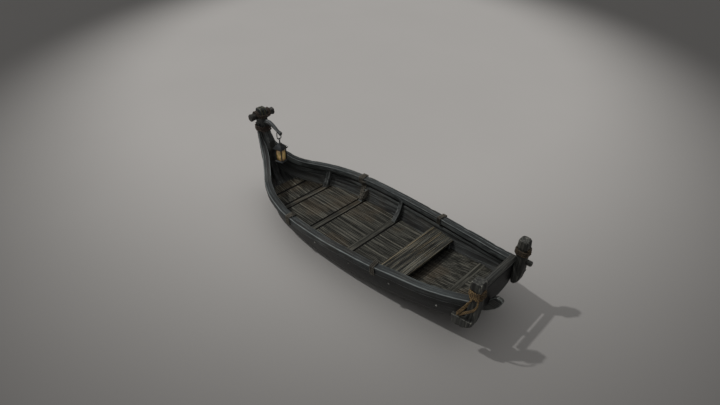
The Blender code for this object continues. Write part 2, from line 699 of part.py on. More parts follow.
def make_post_lashings():
    """Turns round each stern post; on the port side the rope runs on as a double tie round the foot."""
    rope = 0.010
    pitch = 2 * rope + 0.001
    base = 0.782
    count = len(wrap(post_ring(0.8), rope, 1))
    path = []
    for i in range(3 * count + 6):
        z = base + pitch * i / count
        x, y = wrap(list(reversed(post_ring(z))), rope + GAP, 1)[(i + POST_START) % count]
        path.append((x, y, z))
    port = list(reversed(path))
    tie = (
        (-1.884, 0.480, 0.766), (-1.862, 0.498, 0.720), (-1.820, 0.515, 0.650), (-1.772, 0.527, 0.570), (-1.738, 0.528, 0.515),
        (-1.712, 0.520, 0.480), (-1.706, 0.505, 0.450), (-1.706, 0.483, 0.448),
    )
    tube("post_lashing_port", port + list(tie), rope, ROPE, 6, phase=math.radians(30.0), up=(1.0, 0.2, 0.0))
    tube("post_lashing_starboard", mirrored(path), rope, ROPE, 6, phase=math.radians(30.0), up=(1.0, 0.2, 0.0))


def make_prow():
    """Crossbar log through the stem's head, its lashing, the rope collar and the horn-shaped arm."""
    centre = (1.905, 0.0, 1.1825)
    lathe("prow_crossbar", ((0.044, -0.188), (0.053, -0.180), (0.047, -0.140), (0.045, -0.06), (0.045, 0.06),
                            (0.047, 0.140), (0.053, 0.180), (0.044, 0.188)), WOOD, 16, centre, "Y")
    seat = lathe("seat", ((0.045 + GAP, -0.2), (0.045 + GAP, 0.2)), WOOD, 16, centre, "Y")
    combine(bpy.data.objects["stem"], seat, "DIFFERENCE")
    rope = 0.011
    pitch = 2 * rope + 0.0015
    # one turn: round the head's fore face below the log, over the log, round the aft face above the arm, over the log again
    over = []
    for angle in (-5, 28, 61, 94, 127, 160):
        turned = math.radians(angle)
        over.append((centre[0] + 0.062 * math.cos(turned), 0.070, centre[2] + 0.062 * math.sin(turned), 0.0))
    half_turn = [(1.9968, 0.0, 1.142, 1.0), (1.9968, 0.042, 1.142, 1.0), (1.996, 0.061, 1.146, 0.8), (1.985, 0.068, 1.162, 0.4)]
    half_turn += over
    half_turn += [(1.833, 0.064, 1.199, 0.8), (1.8303, 0.042, 1.197, 1.0), (1.8303, 0.0, 1.197, 1.0)]
    turn = list(half_turn) + [(x, -y, z, low) for x, y, z, low in reversed(half_turn[1:-1])]
    path = []
    for i in range(2 * len(turn) + 1):
        x, y, z, low = turn[i % len(turn)]
        drift = pitch * i / len(turn)
        side = 0.0 if abs(y) < 0.05 else math.copysign(1.0, y) * (1.0 if low == 0.0 else 0.5)
        lean = (0.07 if x > centre[0] else -0.06) * low * drift
        path.append((x + lean, y + side * drift, z - low * drift))
    tube("prow_lashing", path, rope, ROPE, 6, phase=math.radians(30.0))
    make_collar(rope)


def make_collar(rope):
    """Three turns that bind the gunwale heads to the stem."""
    aft = sorted((z, x) for x, z in STEM_AFT if z > 0.8)
    fore = sorted((z, x) for x, z in STEM_FORE if z > 0.5)
    heads = np.array([(z, x, y) for x, y, z in GUNWALE_HEAD])
    pitch = 2 * rope + 0.0015
    per_turn = 18
    path = []
    for i in range(3 * per_turn + 1):
        z = 0.965 + pitch * i / per_turn
        # where a rope's round flank clears the leaning faces
        reach = [(step, rope - math.sqrt(rope**2 - step**2)) for step in np.linspace(-0.9, 0.9, 13) * rope]
        front = max(float(np.interp(z + step, *zip(*fore))) - rise for step, rise in reach)
        back = min(float(np.interp(z + step, *zip(*aft))) + rise for step, rise in reach)
        head_x, head_y = (float(np.interp(z, heads[:, 0], heads[:, k])) for k in (1, 2))
        port = [(front, STEM_HALF), (head_x + 0.011, head_y + 0.001), (back, STEM_HALF)]
        x, y = wrap(port + [(x, -y) for x, y in reversed(port)], rope + GAP, 2)[i % per_turn]
        path.append((x, y, z))
    tube("prow_collar", path, rope, ROPE, 6, phase=math.radians(30.0), up=(1.0, 0.2, 0.0))


def ring_path(centre, half_a, half_b, first, second, count=16):
    points = []
    for k in range(count):
        turn = 2 * math.pi * k / count
        points.append(Vector(centre) + Vector(first) * half_a * math.cos(turn) + Vector(second) * half_b * math.sin(turn))
    return points


def make_arm():
    """The horn-shaped arm from the stem's head, with a bored eye near its tip."""
    # columns: x, z, half height, half width
    line = (
        (1.8333, 1.092, 0.036, 0.032), (1.790, 1.108, 0.037, 0.031), (1.730, 1.112, 0.036, 0.029), (1.670, 1.098, 0.032, 0.026),
        (1.615, 1.075, 0.028, 0.023), (1.575, 1.054, 0.026, 0.021), (1.545, 1.040, 0.026, 0.021), (1.515, 1.030, 0.031, 0.024),
        (1.497, 1.024, 0.033, 0.026),
    )
    rings = []
    for i, (x, z, tall, wide) in enumerate(line):
        before, after = line[max(i - 1, 0)], line[min(i + 1, len(line) - 1)]
        along = Vector((after[0] - before[0], 0.0, after[1] - before[1])).normalized()
        if i == 0:
            along = Vector((-0.080, 0.0, 0.009)).normalized()
        up = Vector((-along.z, 0.0, along.x))
        if up.z < 0:
            up = -up
        ring = []
        for k in range(12):
            turn = 2 * math.pi * (k + 0.5) / 12
            ring.append(tuple(Vector((x, 0.0, z)) + up * tall * math.sin(turn) + Vector((0.0, 1.0, 0.0)) * wide * math.cos(turn)))
        rings.append(ring)
    arm = loft("horn_arm", rings, WOOD, smooth=True)
    eye = lathe("eye", ((0.0052, -0.1), (0.0052, 0.1)), IRON, 12, (LANTERN_X, 0.0, HOOK_Z), "Y")
    combine(arm, eye, "DIFFERENCE")


def make_lantern():
    """A link through the arm's eye and a square lantern that hangs on it."""
    wire = 0.0045
    low = RING_Z - 2 * wire - 0.0006
    mid_z = (HOOK_Z + low + 0.002) / 2
    half = (HOOK_Z - low + 0.002) / 2
    link_points = []
    for y, z in ((0.0, HOOK_Z), (0.020, HOOK_Z), (0.030, HOOK_Z - 0.006), (0.034, mid_z), (0.030, low + 0.010), (0.016, low + 0.001),
                 (0.0, low), (-0.016, low + 0.001), (-0.030, low + 0.010), (-0.034, mid_z), (-0.030, HOOK_Z - 0.006), (-0.020, HOOK_Z)):
        link_points.append(Vector((LANTERN_X, y, z)))
    tube("lantern_link", link_points, wire, IRON, 8, closed=True, up=(1.0, 0.0, 0.0))
    turn = Matrix.Translation((LANTERN_X, 0.0, 0.0)) @ Matrix.Rotation(math.radians(LANTERN_TURN), 4, "Z")

    def place(obj):
        obj.data.transform(turn)
        return obj

    def square(name, levels, mat):
        rings = [[(h, h, z), (-h, h, z), (-h, -h, z), (h, -h, z)] for h, z in levels]
        return loft(name, rings, mat)

    top, roof, eave, base = 0.918, 0.862, 0.796, 0.590
    frame = square("lantern_frame", ((0.060, base), (0.066, base + 0.006), (0.066, base + 0.018), (0.056, base + 0.026)), TIN)
    for sx in (-1, 1):
        for sy in (-1, 1):
            x, y = sx * 0.050, sy * 0.050
            post = box("post", (x - 0.006, y - 0.006, base + 0.02), (x + 0.006, y + 0.006, eave + 0.004), TIN)
            combine(frame, post)
    cap = square("cap", ((0.060, eave), (0.074, eave - 0.002), (0.074, eave + 0.008), (0.040, roof - 0.016), (0.022, roof),
                         (0.022, roof + 0.008), (0.012, roof + 0.016)), TIN)
    combine(frame, cap)
    neck = lathe("neck", ((0.012, roof + 0.006), (0.009, roof + 0.036), (0.008, RING_Z - 2 * 0.0155 + 0.001)), TIN, 12)
    combine(frame, neck)
    place(frame)
    ring_centre = (LANTERN_X, 0.0, RING_Z - 0.0155)
    ring = tube("ring", ring_path(ring_centre, 0.0155, 0.0155, (1.0, 0.0, 0.0), (0.0, 0.0, 1.0), 16), wire, TIN, 8, closed=True,
                up=(0.0, 1.0, 0.0))
    combine(frame, ring)
    pane = 0.0425
    outer = [[(pane, pane, z), (-pane, pane, z), (-pane, -pane, z), (pane, -pane, z)] for z in (base + 0.0263, eave - 0.0003)]
    glass = loft("lantern_glass", outer, GLASS)
    core = pane - 0.003
    inner = [[(core, core, z), (-core, core, z), (-core, -core, z), (core, -core, z)] for z in (base, eave + 0.1)]
    combine(glass, loft("core", inner, GLASS), "DIFFERENCE")
    place(glass)
    candle = lathe("candle", ((0.017, base + 0.0263), (0.017, base + 0.100), (0.010, base + 0.104), (0.0015, base + 0.105),
                              (0.0012, base + 0.120)), WAX, 14)
    place(candle)


def set_pivot(name, point):
    """Moves an object's origin to its joint's axis without moving its mesh."""
    obj = bpy.data.objects[name]
    obj.data.transform(Matrix.Translation(-Vector(point)))
    obj.location = point


def centre_on_box():
    """Slides the whole boat along X so that its box is centred on the origin."""
    reach = [obj.location.x + v.co.x for obj in bpy.data.objects for v in obj.data.vertices]
    middle = (min(reach) + max(reach)) / 2
    for obj in bpy.data.objects:
        obj.location.x -= middle


def main():
    sides = make_planking()
    make_gunwales(sides)
    make_stringers()
    make_stem()
    make_transom()
    make_floor_timbers()
    make_floor_panels()
    make_ribs()
    make_bench()
    peg, hole = make_stern()
    combine(bpy.data.objects["stern_post_starboard"], hole, "DIFFERENCE")
    make_skeg()
    make_gunwale_lashings(sides)
    make_post_lashings()
    make_prow()
    make_arm()
    make_lantern()
    set_pivot("lantern_link", (LANTERN_X, 0.0, HOOK_Z))
    for name in ("lantern_frame", "lantern_glass", "candle"):
        set_pivot(name, (LANTERN_X, 0.0, RING_Z))
    centre_on_box()


main()
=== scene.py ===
"""Looks of a small tarred riverboat with a raised prow, rope lashings and a hanging lantern."""

import json
import logging
import math
from dataclasses import dataclass, field
from enum import Enum, IntEnum
from typing import Callable, Optional, Sequence, Union

import bmesh
import bpy
import numpy as np
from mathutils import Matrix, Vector, noise
from mathutils.bvhtree import BVHTree

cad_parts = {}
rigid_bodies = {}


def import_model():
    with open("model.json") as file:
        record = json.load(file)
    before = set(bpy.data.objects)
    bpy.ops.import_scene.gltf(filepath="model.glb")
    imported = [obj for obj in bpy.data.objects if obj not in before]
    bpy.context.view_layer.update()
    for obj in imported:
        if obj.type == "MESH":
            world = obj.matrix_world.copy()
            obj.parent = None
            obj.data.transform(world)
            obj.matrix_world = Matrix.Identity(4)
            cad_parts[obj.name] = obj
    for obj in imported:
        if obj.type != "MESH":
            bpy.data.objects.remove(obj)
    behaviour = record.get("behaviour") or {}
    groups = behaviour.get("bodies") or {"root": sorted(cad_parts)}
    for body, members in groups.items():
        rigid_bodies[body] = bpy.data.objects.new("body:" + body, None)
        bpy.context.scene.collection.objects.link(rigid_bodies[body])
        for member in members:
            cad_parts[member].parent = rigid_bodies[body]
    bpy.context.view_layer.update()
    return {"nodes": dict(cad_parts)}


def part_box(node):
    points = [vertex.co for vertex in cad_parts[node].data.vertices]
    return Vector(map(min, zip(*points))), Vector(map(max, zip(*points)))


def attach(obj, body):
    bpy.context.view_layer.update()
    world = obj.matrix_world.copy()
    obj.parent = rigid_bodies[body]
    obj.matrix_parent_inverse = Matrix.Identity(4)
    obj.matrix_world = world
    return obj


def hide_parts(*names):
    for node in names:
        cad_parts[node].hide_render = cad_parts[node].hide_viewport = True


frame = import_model()
LOG = logging.getLogger("riverboat")

Colour = tuple[float, float, float]
Place = tuple[float, float, float]
PointMap = Callable[[np.ndarray], np.ndarray]
CarveMap = Callable[[np.ndarray, np.ndarray], np.ndarray]

SIDES = (("port", 1.0), ("starboard", -1.0))
GAP = 0.0003
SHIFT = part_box("transom")[0].x + 1.8443
POST_FACE = -1.8446
CAP_WIDTH = 0.092
CAP_DEPTH = 0.045
OUTWALE = 0.028
OUTWALE_DEPTH = 0.088
STEM_HALF = 0.050
LANTERN_X = 1.546 + SHIFT


class Slot(Enum):
    """The record's material slots."""

    TIMBER = "dark_tarred_wood"
    BOARD = "grey_brown_board"
    ROPE = "hemp_rope"
    IRON = "blackened_iron"
    TIN = "blue_grey_tin"
    PANE = "amber_glass"
    WAX = "candle_wax"


class Body(Enum):
    """The bodies that pieces ride on."""

    HULL = "hull"
    LINK = "link"
    LANTERN = "lantern"


class Axis(Enum):
    """The direction that a straight timber's grain runs in."""

    X = (0, 1, 2)
    Y = (1, 0, 2)
    Z = (2, 0, 1)


class Line(IntEnum):
    """The columns of the hull's table."""

    ALONG = 0
    RIM_OUT = 1
    RIM_UP = 2
    CHINE_OUT = 3
    CHINE_UP = 4
    KEEL_UP = 5
    FLOOR_OUT = 6


# Node trees


class Sock:
    """A node's output that takes part in sums as a number does."""

    def __init__(self, graph: "Graph", link: bpy.types.NodeSocket) -> None:
        """Keeps the graph and the node socket."""
        self.graph = graph
        self.link = link

    def _math(self, operation: str, first: "Value", second: "Value" = 0.0) -> "Sock":
        """One Math node on two values."""
        return self.graph.node("ShaderNodeMath", {"operation": operation}, {0: first, 1: second})

    def __add__(self, other: "Value") -> "Sock":
        """self + other."""
        return self._math("ADD", self, other)

    def __radd__(self, other: "Value") -> "Sock":
        """other + self."""
        return self._math("ADD", other, self)

    def __sub__(self, other: "Value") -> "Sock":
        """self - other."""
        return self._math("SUBTRACT", self, other)

    def __rsub__(self, other: "Value") -> "Sock":
        """other - self."""
        return self._math("SUBTRACT", other, self)

    def __mul__(self, other: "Value") -> "Sock":
        """self * other."""
        return self._math("MULTIPLY", self, other)

    def __rmul__(self, other: "Value") -> "Sock":
        """other * self."""
        return self._math("MULTIPLY", other, self)

    def __pow__(self, other: "Value") -> "Sock":
        """self to the power of other."""
        return self._math("POWER", self, other)

    def __rpow__(self, other: "Value") -> "Sock":
        """other to the power of self."""
        return self._math("POWER", other, self)

    def __abs__(self) -> "Sock":
        """Size of self."""
        return self._math("ABSOLUTE", self)

    def sine(self) -> "Sock":
        """Sine of self, in radians."""
        return self._math("SINE", self)

    def cosine(self) -> "Sock":
        """Cosine of self, in radians."""
        return self._math("COSINE", self)

    def angle(self, other: "Value") -> "Sock":
        """The angle whose sine is self and whose cosine is other."""
        return self._math("ARCTAN2", self, other)

    def most(self, other: "Value") -> "Sock":
        """The larger of the two."""
        return self._math("MAXIMUM", self, other)

    def part(self, axis: int) -> "Sock":
        """One of a vector's three numbers."""
        return self.graph.node("ShaderNodeSeparateXYZ", None, {0: self}, axis)

    def fit(self, low: float, high: float, out_low: float = 0.0, out_high: float = 1.0) -> "Sock":
        """A smooth step of self from low to high.

        Args:
            low: Where the step begins.
            high: Where it ends.
            out_low: Result at and before low.
            out_high: Result at and after high.

        Returns:
            The stepped value.
        """
        return self.graph.node(
            "ShaderNodeMapRange",
            {"interpolation_type": "SMOOTHSTEP"},
            {"Value": self, "From Min": low, "From Max": high, "To Min": out_low, "To Max": out_high},
        )


Value = Union[Sock, float, int]


class Graph:
    """A node tree under construction."""

    def __init__(self, tree: bpy.types.NodeTree) -> None:
        """Keeps the tree."""
        self.tree = tree

    def node(self, kind: str, settings: Optional[dict] = None, inputs: Optional[dict] = None,
             output: Union[int, str] = 0) -> Sock:
        """Adds one node.

        Args:
            kind: Blender's name for the node type.
            settings: Attributes that are set before its sockets.
            inputs: Values or links of its sockets, by name or place.
            output: Which of its outputs is wanted.

        Returns:
            That output.
        """
        made = self.tree.nodes.new(kind)
        for name, value in (settings or {}).items():
            setattr(made, name, value)
        for key, value in (inputs or {}).items():
            self.feed(made.inputs[key], value)
        return Sock(self, made.outputs[output])

    def feed(self, socket: bpy.types.NodeSocket, value: object) -> None:
        """Links or sets one input socket.

        Args:
            socket: The socket.
            value: An output to link, or a value to set.
        """
        if isinstance(value, Sock):
            self.tree.links.new(value.link, socket)
        elif isinstance(value, tuple) and socket.type == "RGBA" and len(value) == 3:
            socket.default_value = (*value, 1.0)
        else:
            socket.default_value = value


class Shader(Graph):
    """A material under construction."""

    def __init__(self, name: str) -> None:
        """Makes the material with its one surface shader.

        Args:
            name: The material's name.
        """
        self.material = bpy.data.materials.new(name)
        self.material.use_nodes = True
        super().__init__(self.material.node_tree)
        self.surface = self.tree.nodes["Principled BSDF"]

    def attribute(self, name: str, vector: bool = False) -> Sock:
        """A mesh attribute, as a number or a vector."""
        return self.node("ShaderNodeAttribute", {"attribute_name": name}, output="Vector" if vector else "Fac")

    def place(self) -> Sock:
        """Object coordinates."""
        return self.node("ShaderNodeTexCoord", output="Object")

    def scaled(self, vector: Sock, scale: Sequence[float], move: Sequence[float] = (0.0, 0.0, 0.0)) -> Sock:
        """A vector stretched axis by axis, then moved."""
        sockets = {0: vector, 1: tuple(scale), 2: tuple(move)}
        return self.node("ShaderNodeVectorMath", {"operation": "MULTIPLY_ADD"}, sockets)

    def noise(self, vector: Sock, scale: float = 1.0, detail: float = 3.0, rough: float = 0.55,
              bend: float = 0.0) -> Sock:
        """Fractal noise, mostly from 0.3 to 0.7."""
        sockets = {"Vector": vector, "Scale": scale, "Detail": detail, "Roughness": rough, "Distortion": bend}
        return self.node("ShaderNodeTexNoise", None, sockets)

    def fibres(self, run: float, across: float, move: Sequence[float] = (0.0, 0.0, 0.0), **kind: float) -> Sock:
        """Noise that is drawn out along the grain."""
        grain = self.scaled(self.attribute("grain", vector=True), (run, across, across), move)
        return self.noise(grain, **kind)

    def mix(self, share: Value, first: Union[Sock, Colour], second: Union[Sock, Colour], blend: str = "MIX") -> Sock:
        """Mixes two colours."""
        settings = {"data_type": "RGBA", "blend_type": blend}
        return self.node("ShaderNodeMix", settings, {0: share, 6: first, 7: second}, 2)

    def bump(self, height: Value, distance: float) -> Sock:
        """A bumped normal from a height between 0 and 1."""
        return self.node("ShaderNodeBump", None, {"Height": height, "Distance": distance, "Strength": 1.0})

    def finish(self, **sockets: object) -> bpy.types.Material:
        """Feeds the surface.

        Args:
            sockets: A value or link for each socket, named with underscores for spaces.

        Returns:
            The material.
        """
        for name, value in sockets.items():
            self.feed(self.surface.inputs[name.replace("_", " ").title().replace("Ior", "IOR")], value)
        return self.material


class GeometryTree(Graph):
    """A geometry node tree under construction."""

    def __init__(self, name: str, inputs: dict[str, tuple[str, object]]) -> None:
        """Makes the tree with a geometry input, the named ones and a material.

        Args:
            name: The tree's name.
            inputs: Socket type and default of each input, by name.
        """
        super().__init__(bpy.data.node_groups.new(name, "GeometryNodeTree"))
        self.ids = {}
        self.add_socket("Geometry", "Geometry", in_out="OUTPUT")
        self.add_socket("Geometry", "Geometry")
        for label, (kind, default) in inputs.items():
            self.add_socket(label, kind).default_value = default
        self.add_socket("Material", "Material")
        entry = self.tree.nodes.new("NodeGroupInput")
        self.given = {label: Sock(self, entry.outputs[label]) for label in self.ids}

    def add_socket(self, label: str, kind: str, in_out: str = "INPUT") -> bpy.types.NodeTreeInterfaceSocket:
        """Adds one socket to the tree's outside.

        Args:
            label: Its name.
            kind: Its type, without the words before it.
            in_out: INPUT or OUTPUT.

        Returns:
            The socket.
        """
        made = self.tree.interface.new_socket(label, in_out=in_out, socket_type="NodeSocket" + kind)
        if in_out == "INPUT":
            self.ids[label] = made.identifier
        return made

    def store(self, geometry: Sock, name: str, value: Sock) -> Sock:
        """Stores a number on each point."""
        sockets = {"Geometry": geometry, "Name": name, "Value": value}
        return self.node("GeometryNodeStoreNamedAttribute", {"data_type": "FLOAT", "domain": "POINT"}, sockets)

    def close(self, geometry: Sock) -> None:
        """Realizes instances, smooths the shading, sets the material and ends the tree.

        Args:
            geometry: What the tree has made.
        """
        real = self.node("GeometryNodeRealizeInstances", None, {0: geometry})
        smooth = self.node("GeometryNodeSetShadeSmooth", None, {"Geometry": real, "Shade Smooth": True})
        sockets = {"Geometry": smooth, "Material": self.given["Material"]}
        painted = self.node("GeometryNodeSetMaterial", None, sockets)
        self.feed(self.tree.nodes.new("NodeGroupOutput").inputs[0], painted)

    def run(self, name: str, mesh: bpy.types.Mesh, values: dict[str, object]) -> bpy.types.Mesh:
        """Runs the tree on a mesh.

        Args:
            name: Name for the carrier object.
            mesh: The tree's geometry input.
            values: Values of the named inputs.

        Returns:
            The plain mesh that comes out.
        """
        carrier = linked(name, mesh)
        modifier = carrier.modifiers.new(name, "NODES")
        modifier.node_group = self.tree
        for label, value in values.items():
            modifier[self.ids[label]] = value
        return baked(carrier)


# Finishes


@dataclass(frozen=True)
class TimberFinish:
    """Tarred and weathered wood whose fibres run along the first grain coordinate."""

    name: str
    deep: Colour = (0.010, 0.011, 0.011)
    body: Colour = (0.036, 0.041, 0.041)
    pale: Colour = (0.090, 0.100, 0.098)
    bare: Colour = (0.27, 0.30, 0.29)
    crack: Colour = (0.004, 0.005, 0.005)
    # the colour that the tint attribute darkens to: dark joints and darker grooves, and also painted shade and the
    # bench's painted shadow
    dark_tint: Colour = (0.002, 0.002, 0.002)
    fibre: float = 95.0
    band: float = 30.0
    wear: float = 1.0
    gloss: float = 0.52
    relief: float = 0.0012
    warm: Colour = (0.060, 0.050, 0.036)
    warmth: float = 0.25
    detail: float = 3.0
    sheen: float = 0.5

    def make(self) -> bpy.types.Material:
        """Builds the node material.

        Returns:
            The material.
        """
        s = Shader(self.name)
        wear, tint = s.attribute("wear"), s.attribute("tint")
        fibres = s.fibres(3.0, self.fibre, detail=self.detail, rough=0.6)
        bands = s.fibres(1.1, self.band, (3.7, 1.1, 0.4), detail=self.detail, bend=0.4)
        slow = s.noise(s.place(), 2.3)
        tone = fibres * 0.5 + bands * 0.5
        colour = s.mix(tone.fit(0.41, 0.58), self.deep, self.body)
        pale = (bands * 0.6 + fibres * 0.4 + (slow - 0.5) * 0.4).fit(0.52, 0.66)
        colour = s.mix(pale * 0.8, colour, self.pale)
        colour = s.mix(slow.fit(0.50, 0.68) * self.warmth, colour, self.warm)
        streak = s.fibres(1.6, self.fibre * 0.62, (9.0, 2.0, 5.0), detail=2.0)
        colour = s.mix(streak.fit(0.66, 0.72) * 0.45, colour, self.bare)
        crack = s.fibres(1.3, self.band * 1.7, (1.0, 7.0, 3.0), detail=2.0)
        split = 1.0 - abs(crack - 0.5).fit(0.0, 0.016)
        colour = s.mix(split * 0.7, colour, self.crack)
        rubbed = 0.35 + s.fibres(9.0, 60.0, detail=4.0) * 1.3
        broken = (wear * self.wear * rubbed).fit(0.34, 0.80)
        colour = s.mix(broken * 0.85, colour, self.bare)
        # tint darkens towards the near-black tint colour: real dark joints and grooves, and also painted shade and
        # painted shadow
        colour = s.mix(tint.fit(0.0, 1.0, 0.0, 0.96), colour, self.dark_tint)
        rough = (tone * 0.35 + (self.gloss - 0.10)) + broken * 0.12
        height = fibres * 0.45 + bands * 0.55 - split * 0.8
        return s.finish(base_color=colour, roughness=rough, specular_ior_level=self.sheen,
                        normal=s.bump(height, self.relief))


@dataclass(frozen=True)
class RopeFinish:
    """Three-strand hemp with painted shade in the lay's valleys and painted highlights on the strands' crowns."""

    name: str
    # dark is the painted valley shade and the colour of darker patches; pale is the painted crown highlight
    dark: Colour
    body: Colour
    pale: Colour

    def make(self) -> bpy.types.Material:
        """Builds the node material.

        Returns:
            The material.
        """
        s = Shader(self.name)
        along, around = s.attribute("along"), s.attribute("around")
        ridge = abs((around * 1.5 + math.pi / 2).sine())
        yarn = (around * 12.0 + along * 900.0).sine() * 0.5 + 0.5
        patch = s.noise(s.place(), 26.0, detail=4.0)
        slow = s.noise(s.place(), 4.0, detail=2.0)
        # painted shade in the valleys, then painted highlights on the crowns; the slow patches after them are the
        # rope's own darker tone
        colour = s.mix(ridge.fit(0.15, 0.85), self.dark, self.body)
        colour = s.mix((ridge * patch * yarn).fit(0.30, 0.62) * 0.8, colour, self.pale)
        colour = s.mix(slow.fit(0.52, 0.64) * 0.6, colour, self.dark)
        height = ridge * 0.5 + yarn * 0.3 + patch * 0.2
        return s.finish(base_color=colour, roughness=patch * 0.2 + 0.72, normal=s.bump(height, 0.0012))


@dataclass(frozen=True)
class MetalFinish:
    """Forged iron or old tin with rust, dust and rubbed edges."""

    name: str
    body: Colour
    pale: Colour
    rust: Colour
    metal: float
    gloss: float
    worn: Colour = (0.30, 0.32, 0.33)

    def make(self) -> bpy.types.Material:
        """Builds the node material.

        Returns:
            The material.
        """
        s = Shader(self.name)
        place = s.place()
        fine = s.noise(place, 90.0, detail=4.0)
        slow = s.noise(s.scaled(place, (17.0, 17.0, 17.0), (2.0, 5.0, 1.0)), detail=4.0)
        colour = s.mix(slow.fit(0.38, 0.62), self.body, self.pale)
        rusty = (slow * 0.6 + fine * 0.4).fit(0.53, 0.62)
        colour = s.mix(rusty * 0.7, colour, self.rust)
        colour = s.mix((s.attribute("wear") * (0.4 + fine)).fit(0.45, 0.9) * 0.7, colour, self.worn)
        rough = fine * 0.3 + self.gloss - 0.15 + rusty * 0.3
        height = fine * 0.5 + slow * 0.5
        return s.finish(base_color=colour, metallic=self.metal - rusty * self.metal * 0.8, roughness=rough,
                        normal=s.bump(height, 0.0015))


@dataclass(frozen=True)
class PaneFinish:
    """Amber glass lit from within, brighter near the candle."""

    name: str
    centre: Place
    squeeze: Place = (1.0, 1.0, 0.85)

    def make(self) -> bpy.types.Material:
        """Builds the node material.

        Returns:
            The material.
        """
        s = Shader(self.name)
        place = s.place()
        off = s.scaled(place, self.squeeze, tuple(-c * k for c, k in zip(self.centre, self.squeeze)))
        far = s.node("ShaderNodeVectorMath", {"operation": "LENGTH"}, {0: off}, "Value")
        smoke = s.noise(s.scaled(place, (34.0, 34.0, 22.0)), detail=4.0)
        glow = 1.0 - (far + (smoke - 0.5) * 0.045).fit(0.036, 0.098)
        sooty = smoke.fit(0.42, 0.60)
        colour = s.mix(glow, (0.050, 0.026, 0.010), s.mix(sooty, (0.40, 0.29, 0.16), (0.26, 0.22, 0.08)))
        light = s.mix(glow, (0.020, 0.006, 0.002), s.mix(sooty, (0.46, 0.29, 0.13), (0.30, 0.23, 0.06)))
        return s.finish(base_color=colour, emission_color=light, emission_strength=0.34, coat_weight=0.3,
                        roughness=smoke * 0.25 + 0.12, normal=s.bump(smoke, 0.001))


@dataclass(frozen=True)
class WaxFinish:
    """Candle wax with a warm top."""

    name: str
    top: float

    def make(self) -> bpy.types.Material:
        """Builds the node material.

        Returns:
            The material.
        """
        s = Shader(self.name)
        place = s.place()
        drips = s.noise(s.scaled(place, (70.0, 70.0, 18.0)), detail=3.0)
        warm = (place.part(2) + drips * 0.02).fit(self.top - 0.05, self.top)
        colour = s.mix(warm, (0.55, 0.46, 0.30), (0.85, 0.66, 0.36))
        light = s.mix(warm, (0.05, 0.02, 0.005), (0.8, 0.4, 0.1))
        return s.finish(base_color=colour, emission_color=light, emission_strength=0.3,
                        roughness=drips * 0.3 + 0.35, normal=s.bump(drips, 0.002))


@dataclass(frozen=True)
class FloorFinish:
    """Plain grey studio floor with a painted pool of light: pale in a wide oval round the boat and painted darker
    outside it.
    """

    name: str
    tone: Colour = (0.505, 0.493, 0.480)
    # the floor's tone far outside the painted pool of light, as a share of the full tone
    edge: float = 0.17
    middle: float = 8.5
    length: float = 10.2
    breadth: float = 7.0

    def make(self) -> bpy.types.Material:
        """Builds the node material.

        Returns:
            The material.
        """
        s = Shader(self.name)
        place = s.place()
        fore, port = place.part(0), place.part(1)
        diagonal = math.sqrt(0.5)
        along = ((fore - port) * diagonal - self.middle) * (1.0 / self.length)
        aside = (fore + port) * (diagonal / self.breadth)
        far = (along * along + aside * aside) ** 0.5
        cloud = s.noise(place, 0.35, detail=2.0)
        grit = s.noise(place, 60.0)
        # painted pool of light, times the floor's own cloudy and gritty tone
        shade = far.fit(0.70, 1.32, 1.0, self.edge) * (0.97 + cloud * 0.06) * (0.985 + grit * 0.03)
        grey = s.node("ShaderNodeCombineXYZ", None, {0: shade, 1: shade, 2: shade})
        return s.finish(base_color=s.mix(1.0, self.tone, grey, "MULTIPLY"), roughness=grit * 0.1 + 0.85)


# Grain maps


@dataclass(frozen=True)
class StraightGrain:
    """Grain of a straight timber."""

    axis: Axis
    offset: float = 0.0

    def __call__(self, points: np.ndarray) -> np.ndarray:
        """Positions to grain coordinates."""
        return points[:, list(self.axis.value)] + np.array((self.offset, self.offset * 0.37, self.offset * 0.71))


@dataclass(frozen=True)
class CurveGrain:
    """Grain that follows a line in the boat's centre plane."""

    line: tuple[tuple[float, float], ...]
    offset: float = 0.0

    def __call__(self, points: np.ndarray) -> np.ndarray:
        """Positions to length along the line, distance from it and breadth.

        Args:
            points: Places, one in each row.

        Returns:
            Their grain coordinates.
        """
        line = np.array(self.line, float)
        legs = np.diff(line, axis=0)
        sizes = np.linalg.norm(legs, axis=1)
        starts = np.concatenate(([0.0], np.cumsum(sizes)))[:-1]
        flat = points[:, [0, 2]]
        best = np.full(len(points), 1e9)
        found = np.zeros((len(points), 2))
        for origin, leg, size, start in zip(line, legs, sizes, starts):
            away = flat - origin
            share = np.clip(away @ leg / size**2, 0.0, 1.0)
            gap = away - share[:, None] * leg
            far = np.linalg.norm(gap, axis=1)
            closer = far < best
            best = np.where(closer, far, best)
            side = np.sign(leg[0] * away[:, 1] - leg[1] * away[:, 0])
            found[closer, 0] = (start + share * size)[closer]
            found[closer, 1] = (side * far)[closer]
        return np.column_stack((found[:, 0] + self.offset, found[:, 1], points[:, 1]))


# The hull's lines


